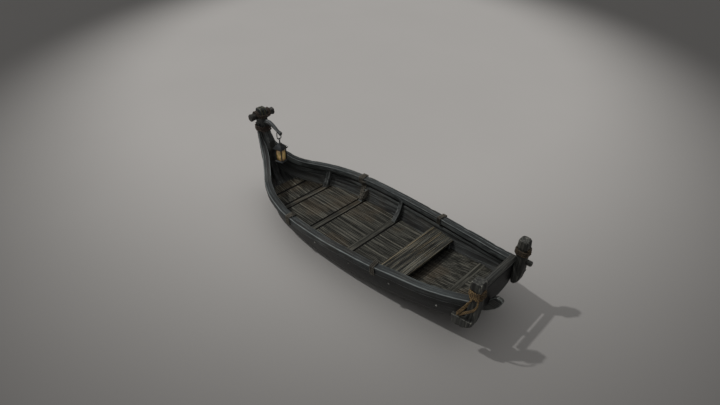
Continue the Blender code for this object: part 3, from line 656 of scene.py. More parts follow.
@dataclass(frozen=True)
class HullForm:
    """The hull's lines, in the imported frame."""

    table: np.ndarray = field(default_factory=lambda: np.array((
        (-1.85, 0.438, 0.688, 0.415, 0.440, 0.335, 0.185),
        (-1.60, 0.500, 0.633, 0.462, 0.372, 0.238, 0.210),
        (-1.33, 0.556, 0.597, 0.488, 0.312, 0.165, 0.225),
        (-1.04, 0.593, 0.573, 0.515, 0.260, 0.104, 0.240),
        (-0.72, 0.639, 0.544, 0.540, 0.222, 0.048, 0.250),
        (-0.39, 0.666, 0.528, 0.560, 0.192, 0.010, 0.260),
        (-0.05, 0.686, 0.512, 0.567, 0.165, 0.000, 0.260),
        (0.31, 0.689, 0.505, 0.567, 0.155, 0.000, 0.260),
        (0.66, 0.663, 0.497, 0.547, 0.155, 0.000, 0.255),
        (0.99, 0.587, 0.498, 0.490, 0.160, 0.000, 0.225),
        (1.14, 0.536, 0.496, 0.420, 0.168, 0.010, 0.190),
        (1.28, 0.471, 0.498, 0.340, 0.185, 0.030, 0.150),
        (1.42, 0.398, 0.500, 0.262, 0.215, 0.062, 0.112),
        (1.54, 0.315, 0.527, 0.200, 0.255, 0.102, 0.082),
        (1.60, 0.273, 0.555, 0.170, 0.280, 0.128, 0.0707),
        (1.66, 0.232, 0.600, 0.143, 0.310, 0.160, 0.0707),
        (1.74, 0.176, 0.666, 0.114, 0.355, 0.208, 0.0707),
        (1.80, 0.146, 0.722, 0.096, 0.398, 0.252, 0.0707),
        (1.88, 0.112, 0.810, 0.082, 0.466, 0.322, 0.0707),
    )))
    head: tuple[tuple[float, float, float], ...] = (
        (1.835, 0.129, 0.765), (1.872, 0.110, 0.830), (1.893, 0.095, 0.885), (1.906, 0.084, 0.940),
        (1.912, 0.077, 0.985), (1.915, 0.071, 1.050),
    )

    def at(self, x: float, column: Line) -> float:
        """Monotone cubic through one column.

        Args:
            x: Place along the boat, before the shift.
            column: The column.

        Returns:
            Its value there.
        """
        xs, ys = self.table[:, Line.ALONG], self.table[:, column]
        step = np.diff(xs)
        slope = np.diff(ys) / step
        tangent = np.zeros_like(ys)
        for i in range(1, len(xs) - 1):
            if slope[i - 1] * slope[i] > 0:
                first, second = 2 * step[i] + step[i - 1], step[i] + 2 * step[i - 1]
                tangent[i] = (first + second) / (first / slope[i - 1] + second / slope[i])
        tangent[0], tangent[-1] = slope[0], slope[-1]
        i = int(np.clip(np.searchsorted(xs, x) - 1, 0, len(step) - 1))
        h = step[i]
        t = (x - xs[i]) / h
        return float(
            (2 * t**3 - 3 * t**2 + 1) * ys[i] + (t**3 - 2 * t**2 + t) * h * tangent[i]
            + (-2 * t**3 + 3 * t**2) * ys[i + 1] + (t**3 - t**2) * h * tangent[i + 1]
        )

    def column(self, xs: np.ndarray, column: Line) -> np.ndarray:
        """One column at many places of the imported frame."""
        return np.interp(xs - SHIFT, self.table[:, Line.ALONG], self.table[:, column])

    @staticmethod
    def spans(start: float, end: float, most: float) -> list[float]:
        """Even steps from start to end, none longer than most."""
        count = max(1, math.ceil(abs(end - start) / most))
        return [start + (end - start) * i / count for i in range(count + 1)]

    def stations(self) -> list[float]:
        """The places that the planking is lofted through, before the shift."""
        parts = ((-1.82, 1.0, 0.12), (1.0, 1.60, 0.062), (1.60, 1.87, 0.055))
        return [x for part in parts for x in self.spans(*part)[:-1]] + [parts[-1][1]]

    def rim(self, x: float) -> Vector:
        """The port gunwale's outer top edge at x, before the shift."""
        return Vector((x, self.at(x, Line.RIM_OUT), self.at(x, Line.RIM_UP)))

    def gunwale_path(self) -> list[Vector]:
        """Outer top edge of the port gunwale, before the shift."""
        places = [POST_FACE + GAP] + [x for x in self.stations() if x < 1.81]
        return [self.rim(x) for x in places] + [Vector(p) for p in self.head]

    def gunwale_frame(self, x: float) -> tuple[Vector, Vector, Vector, Vector]:
        """The port gunwale's course at one place.

        Args:
            x: Place along the boat, before the shift.

        Returns:
            Place, course, outward and upward directions.
        """
        point, ahead = self.rim(x), self.rim(x + 0.01)
        along = (ahead - point).normalized()
        out = Vector((-along.y, along.x, 0.0)).normalized()
        up = out.cross(along)
        return point, along, out, up if up.z > 0 else -up


@dataclass(frozen=True)
class PlankGrain:
    """Grain of a hull plank: along the boat, and across from one table column to another."""

    form: HullForm
    low: Line
    high: Line
    breadth: float
    offset: float = 0.0
    by_width: bool = False

    def __call__(self, points: np.ndarray) -> np.ndarray:
        """Positions to grain coordinates.

        Args:
            points: Places, one in each row.

        Returns:
            Their grain coordinates.
        """
        low = self.form.column(points[:, 0], self.low)
        high = self.form.column(points[:, 0], self.high)
        level = np.abs(points[:, 1]) if self.by_width else points[:, 2]
        share = (level - low) / np.maximum(high - low, 0.02)
        side = np.sign(points[:, 1]) * 0.8 + self.offset
        return np.column_stack((points[:, 0] + self.offset, share * self.breadth, side))


# Mesh helpers


def set_attribute(mesh: bpy.types.Mesh, name: str, values: np.ndarray) -> None:
    """Stores one number or vector for each point.

    Args:
        mesh: The mesh.
        name: The attribute's name.
        values: One row for each point.
    """
    kind, key = ("FLOAT_VECTOR", "vector") if values.ndim == 2 else ("FLOAT", "value")
    old = mesh.attributes.get(name)
    if old is not None:
        mesh.attributes.remove(old)
    made = mesh.attributes.new(name, kind, "POINT")
    made.data.foreach_set(key, values.astype(np.float32).ravel())


def read(items: bpy.types.bpy_prop_collection, key: str, width: int, kind: type = np.float32) -> np.ndarray:
    """One value of each of a mesh's elements.

    Args:
        items: The elements.
        key: The value's name.
        width: How many numbers it has.
        kind: The numbers' type in the mesh.

    Returns:
        One row for each element.
    """
    found = np.zeros(len(items) * width, kind)
    items.foreach_get(key, found)
    return found.reshape(-1, width)


def positions(mesh: bpy.types.Mesh) -> np.ndarray:
    """A mesh's vertex positions."""
    return read(mesh.vertices, "co", 3).astype(float)


def linked(name: str, data: bpy.types.ID) -> bpy.types.Object:
    """Puts a new object into the scene.

    Args:
        name: Its name.
        data: Its mesh, lamp or camera.

    Returns:
        The object.
    """
    obj = bpy.data.objects.new(name, data)
    bpy.context.scene.collection.objects.link(obj)
    return obj


def solid(name: str, bm: bmesh.types.BMesh) -> bpy.types.Mesh:
    """Turns a bmesh into a mesh and frees it.

    Args:
        name: The mesh's name.
        bm: The bmesh.

    Returns:
        The mesh.
    """
    mesh = bpy.data.meshes.new(name)
    bm.to_mesh(mesh)
    bm.free()
    return mesh


def publish(name: str, mesh: bpy.types.Mesh, material: bpy.types.Material, body: Body = Body.HULL,
            nodes: Sequence[str] = ()) -> bpy.types.Object:
    """Makes a finished piece of a mesh.

    Args:
        name: The piece's name.
        mesh: Its mesh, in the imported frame.
        material: Its material.
        body: The body that it rides on.
        nodes: The CAD nodes that it stands for.

    Returns:
        The piece.
    """
    mesh.materials.clear()
    mesh.materials.append(material)
    obj = linked(name, mesh)
    mesh.name = name
    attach(obj, body.value)
    if nodes:
        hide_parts(*nodes)
    LOG.info("%s: %d faces, rides on %s", name, len(mesh.polygons), body.value)
    return obj


def baked(obj: bpy.types.Object) -> bpy.types.Mesh:
    """Takes an object's evaluated mesh and removes the object.

    Args:
        obj: The object.

    Returns:
        The mesh.
    """
    graph = bpy.context.evaluated_depsgraph_get()
    mesh = bpy.data.meshes.new_from_object(obj.evaluated_get(graph))
    bpy.data.objects.remove(obj, do_unlink=True)
    return mesh


def surface(node: str) -> BVHTree:
    """A CAD node's surface, for finding places on it."""
    mesh = frame["nodes"][node].data
    return BVHTree.FromPolygons([v.co for v in mesh.vertices], [tuple(f.vertices) for f in mesh.polygons])


def merged(node: str) -> bmesh.types.BMesh:
    """Reads a CAD node's mesh and joins its loose triangles into plain faces.

    Args:
        node: The node's name.

    Returns:
        The faces.
    """
    bm = bmesh.new()
    bm.from_mesh(frame["nodes"][node].data)
    bmesh.ops.remove_doubles(bm, verts=bm.verts, dist=1e-5)
    bmesh.ops.dissolve_limit(bm, angle_limit=math.radians(0.6), verts=bm.verts, edges=bm.edges)
    return bm


def divide(bm: bmesh.types.BMesh, axis: int, place: float) -> None:
    """Divides the faces along a plane.

    Args:
        bm: The mesh.
        axis: 0 or 1, the direction that the plane looks in.
        place: Where it stands along that axis.
    """
    direction = Vector((1.0, 0.0, 0.0)) if axis == 0 else Vector((0.0, 1.0, 0.0))
    geom = bm.verts[:] + bm.edges[:] + bm.faces[:]
    bmesh.ops.bisect_plane(bm, geom=geom, dist=1e-6, plane_co=direction * place, plane_no=direction)


def looks_up(face: bmesh.types.BMFace) -> bool:
    """Whether a face counts as a timber's top."""
    return face.normal.z > 0.7


def mark_sharp(bm: bmesh.types.BMesh, angle: float = 28.0) -> None:
    """Shades smooth across gentle edges and flat across the others.

    Args:
        bm: The mesh.
        angle: The largest gentle angle, in degrees.
    """
    limit = math.radians(angle)
    for face in bm.faces:
        face.smooth = True
    for edge in bm.edges:
        edge.smooth = len(edge.link_faces) == 2 and edge.calc_face_angle(0.0) < limit


def loft(rings: Sequence[Sequence[Sequence[float]]]) -> bmesh.types.BMesh:
    """A closed skin through rings of equal length, with face rows in order.

    Args:
        rings: Points of each ring.

    Returns:
        The skin.
    """
    bm = bmesh.new()
    rows = [[bm.verts.new(p) for p in ring] for ring in rings]
    count = len(rows[0])
    for one, two in zip(rows, rows[1:]):
        for i in range(count):
            bm.faces.new((one[i], one[(i + 1) % count], two[(i + 1) % count], two[i]))
    bm.faces.new(rows[0])
    bm.faces.new(rows[-1])
    bmesh.ops.recalc_face_normals(bm, faces=bm.faces)
    return bm


def fbm(points: np.ndarray, scale: Sequence[float], seed: float = 0.0) -> np.ndarray:
    """Smooth noise, about -0.5 to 0.5, at each point after an axis by axis stretch."""
    stretch = np.array(scale)
    return np.array([noise.noise(Vector(p * stretch + seed)) for p in points])


# Skins for carried-over timbers


@dataclass
class TimberSkin:
    """A sawn timber or plank: the CAD shape with eased, worn edges and a grain."""

    nodes: Sequence[str]
    material: bpy.types.Material
    grain: PointMap
    ease: float = 0.004
    slot: Slot = Slot.TIMBER
    body: Body = Body.HULL
    # tone of the faces that don't look outward or down; on the transom it is painted shade
    dark: float = 0.0
    edge_wear: float = 1.0
    # painted shade on faces that look outward or down
    outside: float = 0.0
    open_ends: tuple[float, ...] = ()
    level: float = 0.008
    slope_run: float = 0.012
    slope_drop: float = 0.016
    swell: float = 0.0

    def build(self) -> None:
        """Makes one piece for each node."""
        for node in self.nodes:
            bm = merged(node)
            bm.faces.layers.float.new("wear")
            bm.faces.layers.float.new("tint")
            self.paint(bm)
            for side in self.open_ends:
                self.slope(bm, side)
            self.ease_edges(bm)
            if self.swell:
                normals = {v: v.normal.copy() for v in bm.verts}
                for vert, normal in normals.items():
                    vert.co += normal * self.swell
            mark_sharp(bm)
            mesh = solid(node, bm)
            set_attribute(mesh, "grain", self.grain(positions(mesh)))
            publish(node + "_skin", mesh, self.material, self.body, [node])

    def paint(self, bm: bmesh.types.BMesh) -> None:
        """Tones the faces before their edges are eased: those that look outward or down get painted shade, the others
        the dark tone.

        Args:
            bm: The timber.
        """
        tint = bm.faces.layers.float["tint"]
        for face in bm.faces:
            away = face.normal.y * math.copysign(1.0, face.calc_center_median().y)
            # painted shade on outward and downward faces
            face[tint] = self.outside if away > 0.3 or face.normal.z < -0.5 else self.dark

    def slope(self, bm: bmesh.types.BMesh, side: float) -> None:
        """Slopes the top down at one end, fore or aft, into a black open joint.

        Args:
            bm: The timber.
            side: 1 for the fore end, -1 for the aft end.
        """
        tint = bm.faces.layers.float["tint"]
        flat = [f for f in bm.faces if looks_up(f)]
        top = max(f.calc_center_median().z for f in flat) - self.level
        end = max(v.co.x * side for f in flat if f.calc_center_median().z > top for v in f.verts)
        start = end - self.slope_run
        divide(bm, 0, start * side)
        rim = [v for v in bm.verts if abs(v.co.x * side - end) < 0.002 and v.co.z > top]
        crest = max(v.co.z for v in rim)
        for vert in rim:
            if vert.co.z > crest - self.slope_run:
                vert.co.z -= self.slope_drop
        for face in bm.faces:
            if start < face.calc_center_median().x * side < end + 0.001 and face.normal.z > -0.5:
                face[tint] = 1.0

    def eased(self, edge: bmesh.types.BMEdge) -> bool:
        """Whether an edge gets a chamfer."""
        return len(edge.link_faces) == 2 and edge.calc_face_angle(0.0) > math.radians(32)

    def ease_edges(self, bm: bmesh.types.BMesh) -> None:
        """Chamfers the sharp edges and marks them as worn.

        Args:
            bm: The timber.
        """
        wear = bm.faces.layers.float["wear"]
        edges = [edge for edge in bm.edges if self.eased(edge)]
        if edges and self.ease > 0:
            made = bmesh.ops.bevel(
                bm, geom=edges, offset=self.ease, offset_type="OFFSET", segments=1, profile=0.5, affect="EDGES",
                clamp_overlap=True)
            for face in made["faces"]:
                face[wear] = self.edge_wear


@dataclass
class BoardSkin(TimberSkin):
    """Boards side by side, each scored into narrow strips with a tone of its own."""

    across: int = 1
    strips: int = 4
    pitch: float = 0.0185
    margin: float = 0.01
    groove: float = 0.0032
    depth: float = 0.0055
    spread: float = 0.30
    cuts: tuple[float, ...] = ()
    cut: tuple[float, float] = (0.016, 0.016)
    rims: tuple[float, ...] = ()
    rim: tuple[float, float] = (0.0022, 0.001)
    # the bench's painted shadow on the floor boards: faces fore of this place along the boat are darkened
    painted_shadow_edge: Optional[float] = None
    wet: float = 0.45
    level: float = 1.0

    def paint(self, bm: bmesh.types.BMesh) -> None:
        """Scores the strips' joints into the top faces and tones each strip.

        Args:
            bm: The boards.
        """
        lines = self.joints(bm)
        for line in lines:
            self.score(bm, self.across, line, self.groove, self.depth)
        for line in self.rims:
            self.score(bm, self.across, line, *self.rim)
        for line in self.cuts:
            self.score(bm, 1 - self.across, line, *self.cut)
        # a cut along the edge of the painted shadow
        if self.painted_shadow_edge is not None:
            divide(bm, 0, self.painted_shadow_edge)
        bm.normal_update()
        wear, tint = bm.faces.layers.float["wear"], bm.faces.layers.float["tint"]
        for face in bm.faces:
            middle = face.calc_center_median()
            place, run = middle[self.across], middle[1 - self.across]
            strip = int(np.searchsorted(lines, place))
            groove = next((i for i, line in enumerate(lines) if abs(place - line) < self.groove), None)
            cut = any(abs(run - line) < self.cut[0] for line in self.cuts)
            rim = any(abs(place - line) < self.rim[0] for line in self.rims)
            pale = groove is not None and self.tone(groove * 3 + 1, lines) > 0.93 and not cut
            face[wear] = 0.7 if rim else 0.8 if pale else 0.0
            scored = cut or (groove is not None and not pale and not rim)
            # painted shadow of the bench
            wet = self.wet if self.painted_shadow_edge is not None and middle.x > self.painted_shadow_edge else 0.0
            face[tint] = 1.0 if scored else wet + self.spread * self.tone(strip, lines)

    @staticmethod
    def score(bm: bmesh.types.BMesh, axis: int, line: float, half: float, depth: float) -> None:
        """Cuts a V-shaped groove across the top faces.

        Args:
            bm: The boards.
            axis: 0 or 1, the direction that the line is measured in.
            line: Where the groove's bottom lies.
            half: Half its width.
            depth: Its depth.
        """
        for off in (-half, 0.0, half):
            divide(bm, axis, line + off)
        for vert in bm.verts:
            if abs(vert.co[axis] - line) < 1e-5 and any(looks_up(f) for f in vert.link_faces):
                vert.co.z -= depth

    def eased(self, edge: bmesh.types.BMEdge) -> bool:
        """Only the long upper edges get a chamfer.

        Args:
            edge: One of the boards' edges.

        Returns:
            Whether it gets one.
        """
        run = edge.verts[1].co - edge.verts[0].co
        tall = any(
            abs(f.normal.z) < 0.3 and max(v.co.z for v in f.verts) - min(v.co.z for v in f.verts) > 0.015
            for f in edge.link_faces
        )
        upper = any(looks_up(f) for f in edge.link_faces)
        return super().eased(edge) and tall and upper and abs(run[1 - self.across]) > abs(run[self.across])

    def tone(self, strip: int, lines: Sequence[float]) -> float:
        """A repeatable tone from 0 to 1 for one strip."""
        return (math.sin(strip * 12.9898 + len(lines) * 78.233) * 43758.5453) % 1.0

    def joints(self, bm: bmesh.types.BMesh) -> list[float]:
        """Finds the lines that part each board into strips, in step with the CAD's grooves between boards.

        Args:
            bm: The boards.

        Returns:
            The lines' places across the boards.
        """
        a = self.across
        tops = [f for f in bm.faces if looks_up(f)]
        places = [v.co[a] for f in tops for v in f.verts]
        rims = sorted({
            round(e.verts[0].co[a], 4) for f in tops for e in f.edges
            if abs(e.verts[0].co[a] - e.verts[1].co[a]) < 0.0005 and e.calc_length() > 0.08
        })
        centres = [(one + two) / 2 for one, two in zip(rims, rims[1:]) if 0.001 < two - one < 0.0045]
        pitch = float(np.median(np.diff(centres))) / self.strips if len(centres) > 1 else self.pitch
        start = centres[0] if centres else 0.0
        first = math.ceil((min(places) + self.margin - start) / pitch)
        last = math.floor((max(places) - self.margin - start) / pitch)
        return [start + pitch * k for k in range(first, last + 1) if k % self.strips or not centres]


@dataclass
class CarvedSkin(TimberSkin):
    """A hewn timber: the CAD shape remeshed finely, with worn corners and carved relief."""

    voxel: float = 0.005
    carve: Optional[CarveMap] = None
    reform: Optional[PointMap] = None
    soften: int = 2
    wear_from: float = 0.03
    wear_over: float = 0.10
    hollow_tint: float = 4.0
    square: float = 0.0
    # how much darker the carved grooves are made
    dark_tint: float = 0.0

    def build(self) -> None:
        """Makes one piece for each node."""
        for node in self.nodes:
            obj = linked(node + "_hewn", solid(node, merged(node)))
            remesh = obj.modifiers.new("hewn", "REMESH")
            remesh.mode = "VOXEL"
            remesh.voxel_size = self.voxel
            remesh.use_smooth_shade = True
            fine = baked(obj)
            self.relief(fine)
            publish(node + "_skin", fine, self.material, self.body, [node])

    def relief(self, mesh: bpy.types.Mesh) -> None:
        """Softens and carves the mesh, and stores its wear, grain and tint.

        Args:
            mesh: The remeshed timber.
        """
        co = positions(mesh)
        edges = read(mesh.edges, "vertices", 2, np.int32)
        count = np.bincount(edges.ravel(), minlength=len(co)).astype(float)[:, None]

        def around(values: np.ndarray) -> np.ndarray:
            """The mean of each point's neighbours.

            Args:
                values: One row for each point.

            Returns:
                The means.
            """
            total = np.zeros_like(values)
            np.add.at(total, edges[:, 0], values[edges[:, 1]])
            np.add.at(total, edges[:, 1], values[edges[:, 0]])
            return total / np.maximum(count, 1.0)

        def move() -> None:
            """Puts the points in their places."""
            mesh.vertices.foreach_set("co", co.astype(np.float32).ravel())
            mesh.update()

        for _ in range(self.soften):
            co = co * 0.5 + around(co) * 0.5
        if self.reform is not None:
            co = self.reform(co)
        move()
        normals = read(mesh.vertex_normals, "vector", 3).astype(float)
        bend = -np.sum((around(co) - co) * normals, axis=1)[:, None] / self.voxel
        for _ in range(2):
            bend = bend * 0.5 + around(bend) * 0.5
        wear = np.clip((bend[:, 0] - self.wear_from) / self.wear_over, 0.0, 1.0)
        grain = self.grain(co)
        cut = self.carve(co, grain) if self.carve is not None else np.zeros(len(co))
        co = co - normals * cut[:, None]
        stained = np.clip(cut / max(float(cut.max()), 1e-6), 0.0, 1.0) ** 1.5 * self.dark_tint
        low = co[:, 2] < self.square
        flank = low & (np.abs(co[:, 1]) > STEM_HALF - 0.013)
        co[low & (normals[:, 2] < -0.3), 2] -= 0.003
        co[flank, 1] = np.sign(co[flank, 1]) * STEM_HALF
        move()
        set_attribute(mesh, "grain", grain)
        set_attribute(mesh, "wear", wear)
        hollow = np.clip(-bend[:, 0] * self.hollow_tint, 0.0, 1.0)
        set_attribute(mesh, "tint", hollow + self.dark + stained)


# Sub-assemblies


def pair(name: str) -> list[str]:
    """A node's names on both sides."""
    return [f"{name}_{side}" for side, _ in SIDES]


def bark(depth: float) -> CarveMap:
    """Long shallow grooves along the grain.

    Args:
        depth: Their depth.

    Returns:
        The carving.
    """

    def carve(points: np.ndarray, grain: np.ndarray) -> np.ndarray:
        """Depth at each point."""
        return np.clip(fbm(grain, (4.0, 40.0, 40.0), 2.0) + 0.35, 0.0, 0.8) * depth

    return carve


@dataclass
class Planking:
    """Side, bilge and bottom planks, the transom, the stringers and the skeg."""

    form: HullForm
    outer: TimberFinish = TimberFinish(
        "tarred_planking", deep=(0.014, 0.014, 0.014), body=(0.062, 0.067, 0.066), pale=(0.125, 0.133, 0.128),
        fibre=90.0, band=26.0, gloss=0.5, warmth=0.35, relief=0.0018)
    inner: TimberFinish = TimberFinish("tarred_framing", body=(0.056, 0.063, 0.062))
    fin: TimberFinish = TimberFinish(
        "skeg_timber", deep=(0.016, 0.017, 0.016), body=(0.092, 0.096, 0.090), pale=(0.19, 0.19, 0.18))
    # painted shade on the planks' faces that look outward or down
    outside: float = 0.60

    def build(self) -> None:
        """Makes the hull's planking."""
        outer, inner = self.outer.make(), self.inner.make()
        side, stringer = (PlankGrain(self.form, Line.CHINE_UP, Line.RIM_UP, 0.34, offset) for offset in (0.3, 5.0))
        bilge = PlankGrain(self.form, Line.FLOOR_OUT, Line.CHINE_OUT, 0.30, 2.1, by_width=True)
        along, across = StraightGrain(Axis.X, 4.4), StraightGrain(Axis.Y, 1.4)
        for name, grain in (("side_plank", side), ("bilge_plank", bilge)):
            TimberSkin(pair(name), outer, grain, 0.003, edge_wear=0.5, outside=self.outside).build()
        TimberSkin(["bottom_plank"], outer, along, 0.003, dark=0.45, outside=self.outside).build()
        # painted shade over the whole transom, whose aft face looks away from the sun
        TimberSkin(["transom"], outer, across, 0.005, edge_wear=0.2, dark=0.72, outside=0.72).build()
        TimberSkin(pair("inner_stringer"), inner, stringer, 0.003, edge_wear=0.4).build()
        CarvedSkin(["skeg"], self.fin.make(), StraightGrain(Axis.X, 7.7), voxel=0.006).build()


@dataclass
class Gunwales:
    """The two wide caps with a lip outside the planking, stepped and rubbed along their edges."""

    form: HullForm
    finish: TimberFinish = TimberFinish(
        "gunwale_timber", deep=(0.009, 0.011, 0.011), body=(0.030, 0.036, 0.037), pale=(0.056, 0.066, 0.068),
        bare=(0.22, 0.245, 0.245), fibre=110.0, band=34.0, gloss=0.50, relief=0.0018)
    step: float = 0.03
    measured: int = 12
    hidden: tuple[int, int] = (23, 31)
    striped: tuple[int, ...] = (4, 5, 15, 17, 18)
    stripe_from: float = 1.35
    stripe_over: float = 0.3
    stripe_tint: float = 0.75
    chip_depth: float = 0.020
    dent_depth: float = 0.0012

    def profile(self, width: float, lip: float, depth: float) -> list[Place]:
        """The section of the port gunwale, from its inner top edge round the outside.

        Args:
            width: Breadth of the cap.
            lip: Breadth of the part outside the planking.
            depth: Depth of that part.

        Returns:
            Outward place, height and wear of each point.
        """
        inner = -0.0045 if width > 0.06 else -0.002
        low = -0.076 if width > 0.085 else -CAP_DEPTH
        return [
            (-width, -0.012, 0.3), (-width + 0.001, inner - 0.003, 0.6), (-width + 0.006, inner, 0.5),
            (-width + 0.014, inner, 0.1), (-0.62 * width, inner, 0.0), (-0.50 * width, inner - 0.0005, 0.0),
            (-0.475 * width, inner - 0.001, 0.0), (-0.46 * width, -0.001, 0.62), (-0.44 * width, 0.0, 0.62),
            (-0.38 * width, 0.0, 0.1), (-0.22 * width, 0.0, 0.0), (-0.016, 0.0, 0.1), (-0.009, -0.0005, 0.5),
            (-0.003, -0.003, 1.0), (-0.0003, -0.009, 0.5), (0.0, -0.016, 0.0), (0.0, -0.40 * depth, 0.0),
            (-0.0035, -0.44 * depth, 0.0), (-0.0035, -0.48 * depth, 0.0), (0.0, -0.52 * depth, 0.3),
            (0.0, -depth + 0.014, 0.1), (-0.001, -depth + 0.007, 0.7), (-0.005, -depth + 0.001, 0.8),
            (-0.010, -depth, 0.2), (-lip, -depth, 0.0), (-lip, -CAP_DEPTH, 0.0), (-0.72 * width, -CAP_DEPTH, 0.0),
            (-0.80 * width, low, 0.0), (-width + 0.004, low, 0.3), (-width, low + 0.005, 0.55), (-width, -0.030, 0.5),
        ]

    def rings(self) -> tuple[np.ndarray, np.ndarray, np.ndarray]:
        """Sections of the port gunwale along its path.

        Returns:
            Points, grain and wear at each ring.
        """
        path = self.form.gunwale_path()
        heads = len(self.form.head)
        points, grains, wears = [], [], []
        port, run = Vector((0.0, 1.0, 0.0)), 0.0
        last = port
        for i, point in enumerate(path):
            along = (path[min(i + 1, len(path) - 1)] - path[max(i - 1, 0)]).normalized()
            head = i - (len(path) - heads) + 1
            if head > 0:
                out = last.lerp(port, head / heads).normalized()
            else:
                out = last = Vector((-along.y, along.x, 0.0)).normalized() if i else port
            up = along.cross(out).normalized() if i else Vector((0.0, 0.0, 1.0))
            width = min(CAP_WIDTH, (point.y - STEM_HALF - GAP) / max(out.y, 0.2))
            lip = min(OUTWALE, width - 0.001)
            depth = OUTWALE_DEPTH if point.z < 0.75 else max(0.02, OUTWALE_DEPTH - 0.35 * (point.z - 0.75))
            run += (point - path[i - 1]).length if i else 0.0
            rows = self.profile(width, lip, depth)
            ring = [point + out * a + up * b for a, b, _ in rows]
            points.append([(p.x + SHIFT, max(p.y, STEM_HALF + GAP), p.z) for p in ring])
            grains.append([(run, a, b) for a, b, _ in rows])
            wears.append([[min(1.0, w * (1.8 if point.x > 1.5 else 1.0))] for _, _, w in rows])
        return np.array(points), np.array(grains), np.array(wears)

    def build(self) -> None:
        """Makes both gunwales."""
        material = self.finish.make()
        coarse = self.rings()
        sizes = np.linalg.norm(np.diff(coarse[0][:, self.measured], axis=0), axis=1)
        places = []
        for i, size in enumerate(sizes):
            count = max(1, round(size / self.step))
            places += [i + k / count for k in range(count)]
        places = np.array(places + [len(sizes)])
        low = np.minimum(places.astype(int), len(sizes) - 1)
        share = (places - low)[:, None, None]
        points, grain, wear = (part[low] * (1 - share) + part[low + 1] * share for part in coarse)
        rows, worn = grain.reshape(-1, 3), wear.reshape(-1)
        inward = points.mean(axis=1, keepdims=True) - points
        inward /= np.linalg.norm(inward, axis=2, keepdims=True)
        stripe = np.zeros(points.shape[:2])
        ahead = (points[:, :1, 0] - SHIFT - self.stripe_from) / self.stripe_over
        stripe[:, self.striped] = np.clip(ahead, 0.0, 1.0) * self.stripe_tint
        for name, side in SIDES:
            chip = np.maximum(fbm(rows, (9.0, 30.0, 30.0), 3.0 + side * 5) - 0.12, 0.0) * self.chip_depth
            dent = (fbm(rows, (3.0, 20.0, 20.0), 11.0 + side * 3) + 0.5) * self.dent_depth
            depth = (chip * worn + dent).reshape(len(points), -1, 1)
            depth[:, slice(*self.hidden)] = 0.0
            carved = points + inward * depth
            carved[:, :, 1] = np.maximum(carved[:, :, 1], STEM_HALF + GAP) * side
            bm = loft(carved.tolist())
            mark_sharp(bm, 40.0)
            mesh = solid(name, bm)
            set_attribute(mesh, "grain", rows + np.array((4.0 * side, 0.0, 0.0)))
            set_attribute(mesh, "wear", worn)
            set_attribute(mesh, "tint", stripe.reshape(-1))
            publish(f"gunwale_{name}_skin", mesh, material, nodes=[f"gunwale_{name}"])


@dataclass
class Interior:
    """Ribs, floor timbers, floor panels and the bench."""

    rib: TimberFinish = TimberFinish(
        "rib_timber", deep=(0.018, 0.020, 0.020), body=(0.068, 0.074, 0.074), pale=(0.16, 0.168, 0.165), fibre=110.0,
        band=36.0)
    board: TimberFinish = TimberFinish(
        "floor_board", deep=(0.024, 0.024, 0.020), body=(0.088, 0.087, 0.073), pale=(0.150, 0.146, 0.122),
        bare=(0.30, 0.29, 0.24), fibre=76.0, band=36.0, gloss=0.62, warm=(0.090, 0.070, 0.046), warmth=0.55,
        relief=0.0020, detail=1.5, sheen=0.22)
    seat: TimberFinish = TimberFinish(
        "bench_board", deep=(0.020, 0.020, 0.017), body=(0.114, 0.114, 0.096), pale=(0.235, 0.226, 0.183),
        bare=(0.40, 0.32, 0.19), fibre=64.0, band=30.0, gloss=0.6, warm=(0.088, 0.074, 0.046), warmth=0.45,
        relief=0.0020, detail=1.5, sheen=0.3)

    def build(self) -> None:
        """Makes everything inside the hull."""
        rib, board, seat = self.rib.make(), self.board.make(), self.seat.make()
        for letter in "abc":
            CarvedSkin(pair(f"rib_{letter}"), rib, StraightGrain(Axis.Z, ord(letter) * 0.7), voxel=0.0045).build()
        both, aft, fore = (-1.0, 1.0), (-1.0,), (1.0,)
        for i, (letter, ends) in enumerate(zip("abcde", (both, both, aft, both, ()))):
            grain = StraightGrain(Axis.Y, 2.0 + i)
            TimberSkin([f"floor_timber_{letter}"], board, grain, 0.0, dark=0.12, open_ends=ends).build()
        panels = (
            ("bow", aft, {"cuts": (1.375 + SHIFT,)}), ("fore", both, {}), ("mid", fore, {}),
            # the aft panel carries the bench's painted shadow fore of x = -1.125
            ("thwart", both, {"spread": 0.12}), ("aft", fore, {"painted_shadow_edge": -1.125}), ("stern", (), {}),
        )
        for i, (name, ends, own) in enumerate(panels):
            grain = StraightGrain(Axis.X, 1.3 * i)
            BoardSkin([f"floor_panel_{name}"], board, grain, 0.0, Slot.BOARD, open_ends=ends, **own).build()
        TimberSkin(pair("bench_riser"), rib, StraightGrain(Axis.X, 6.1), 0.003).build()
        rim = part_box("bench_top")[1].x - 0.022
        BoardSkin(["bench_top"], seat, StraightGrain(Axis.Y, 3.3), 0.0055, Slot.BOARD, across=0, spread=0.35,
                  groove=0.0022, depth=0.0035, rims=(rim,)).build()


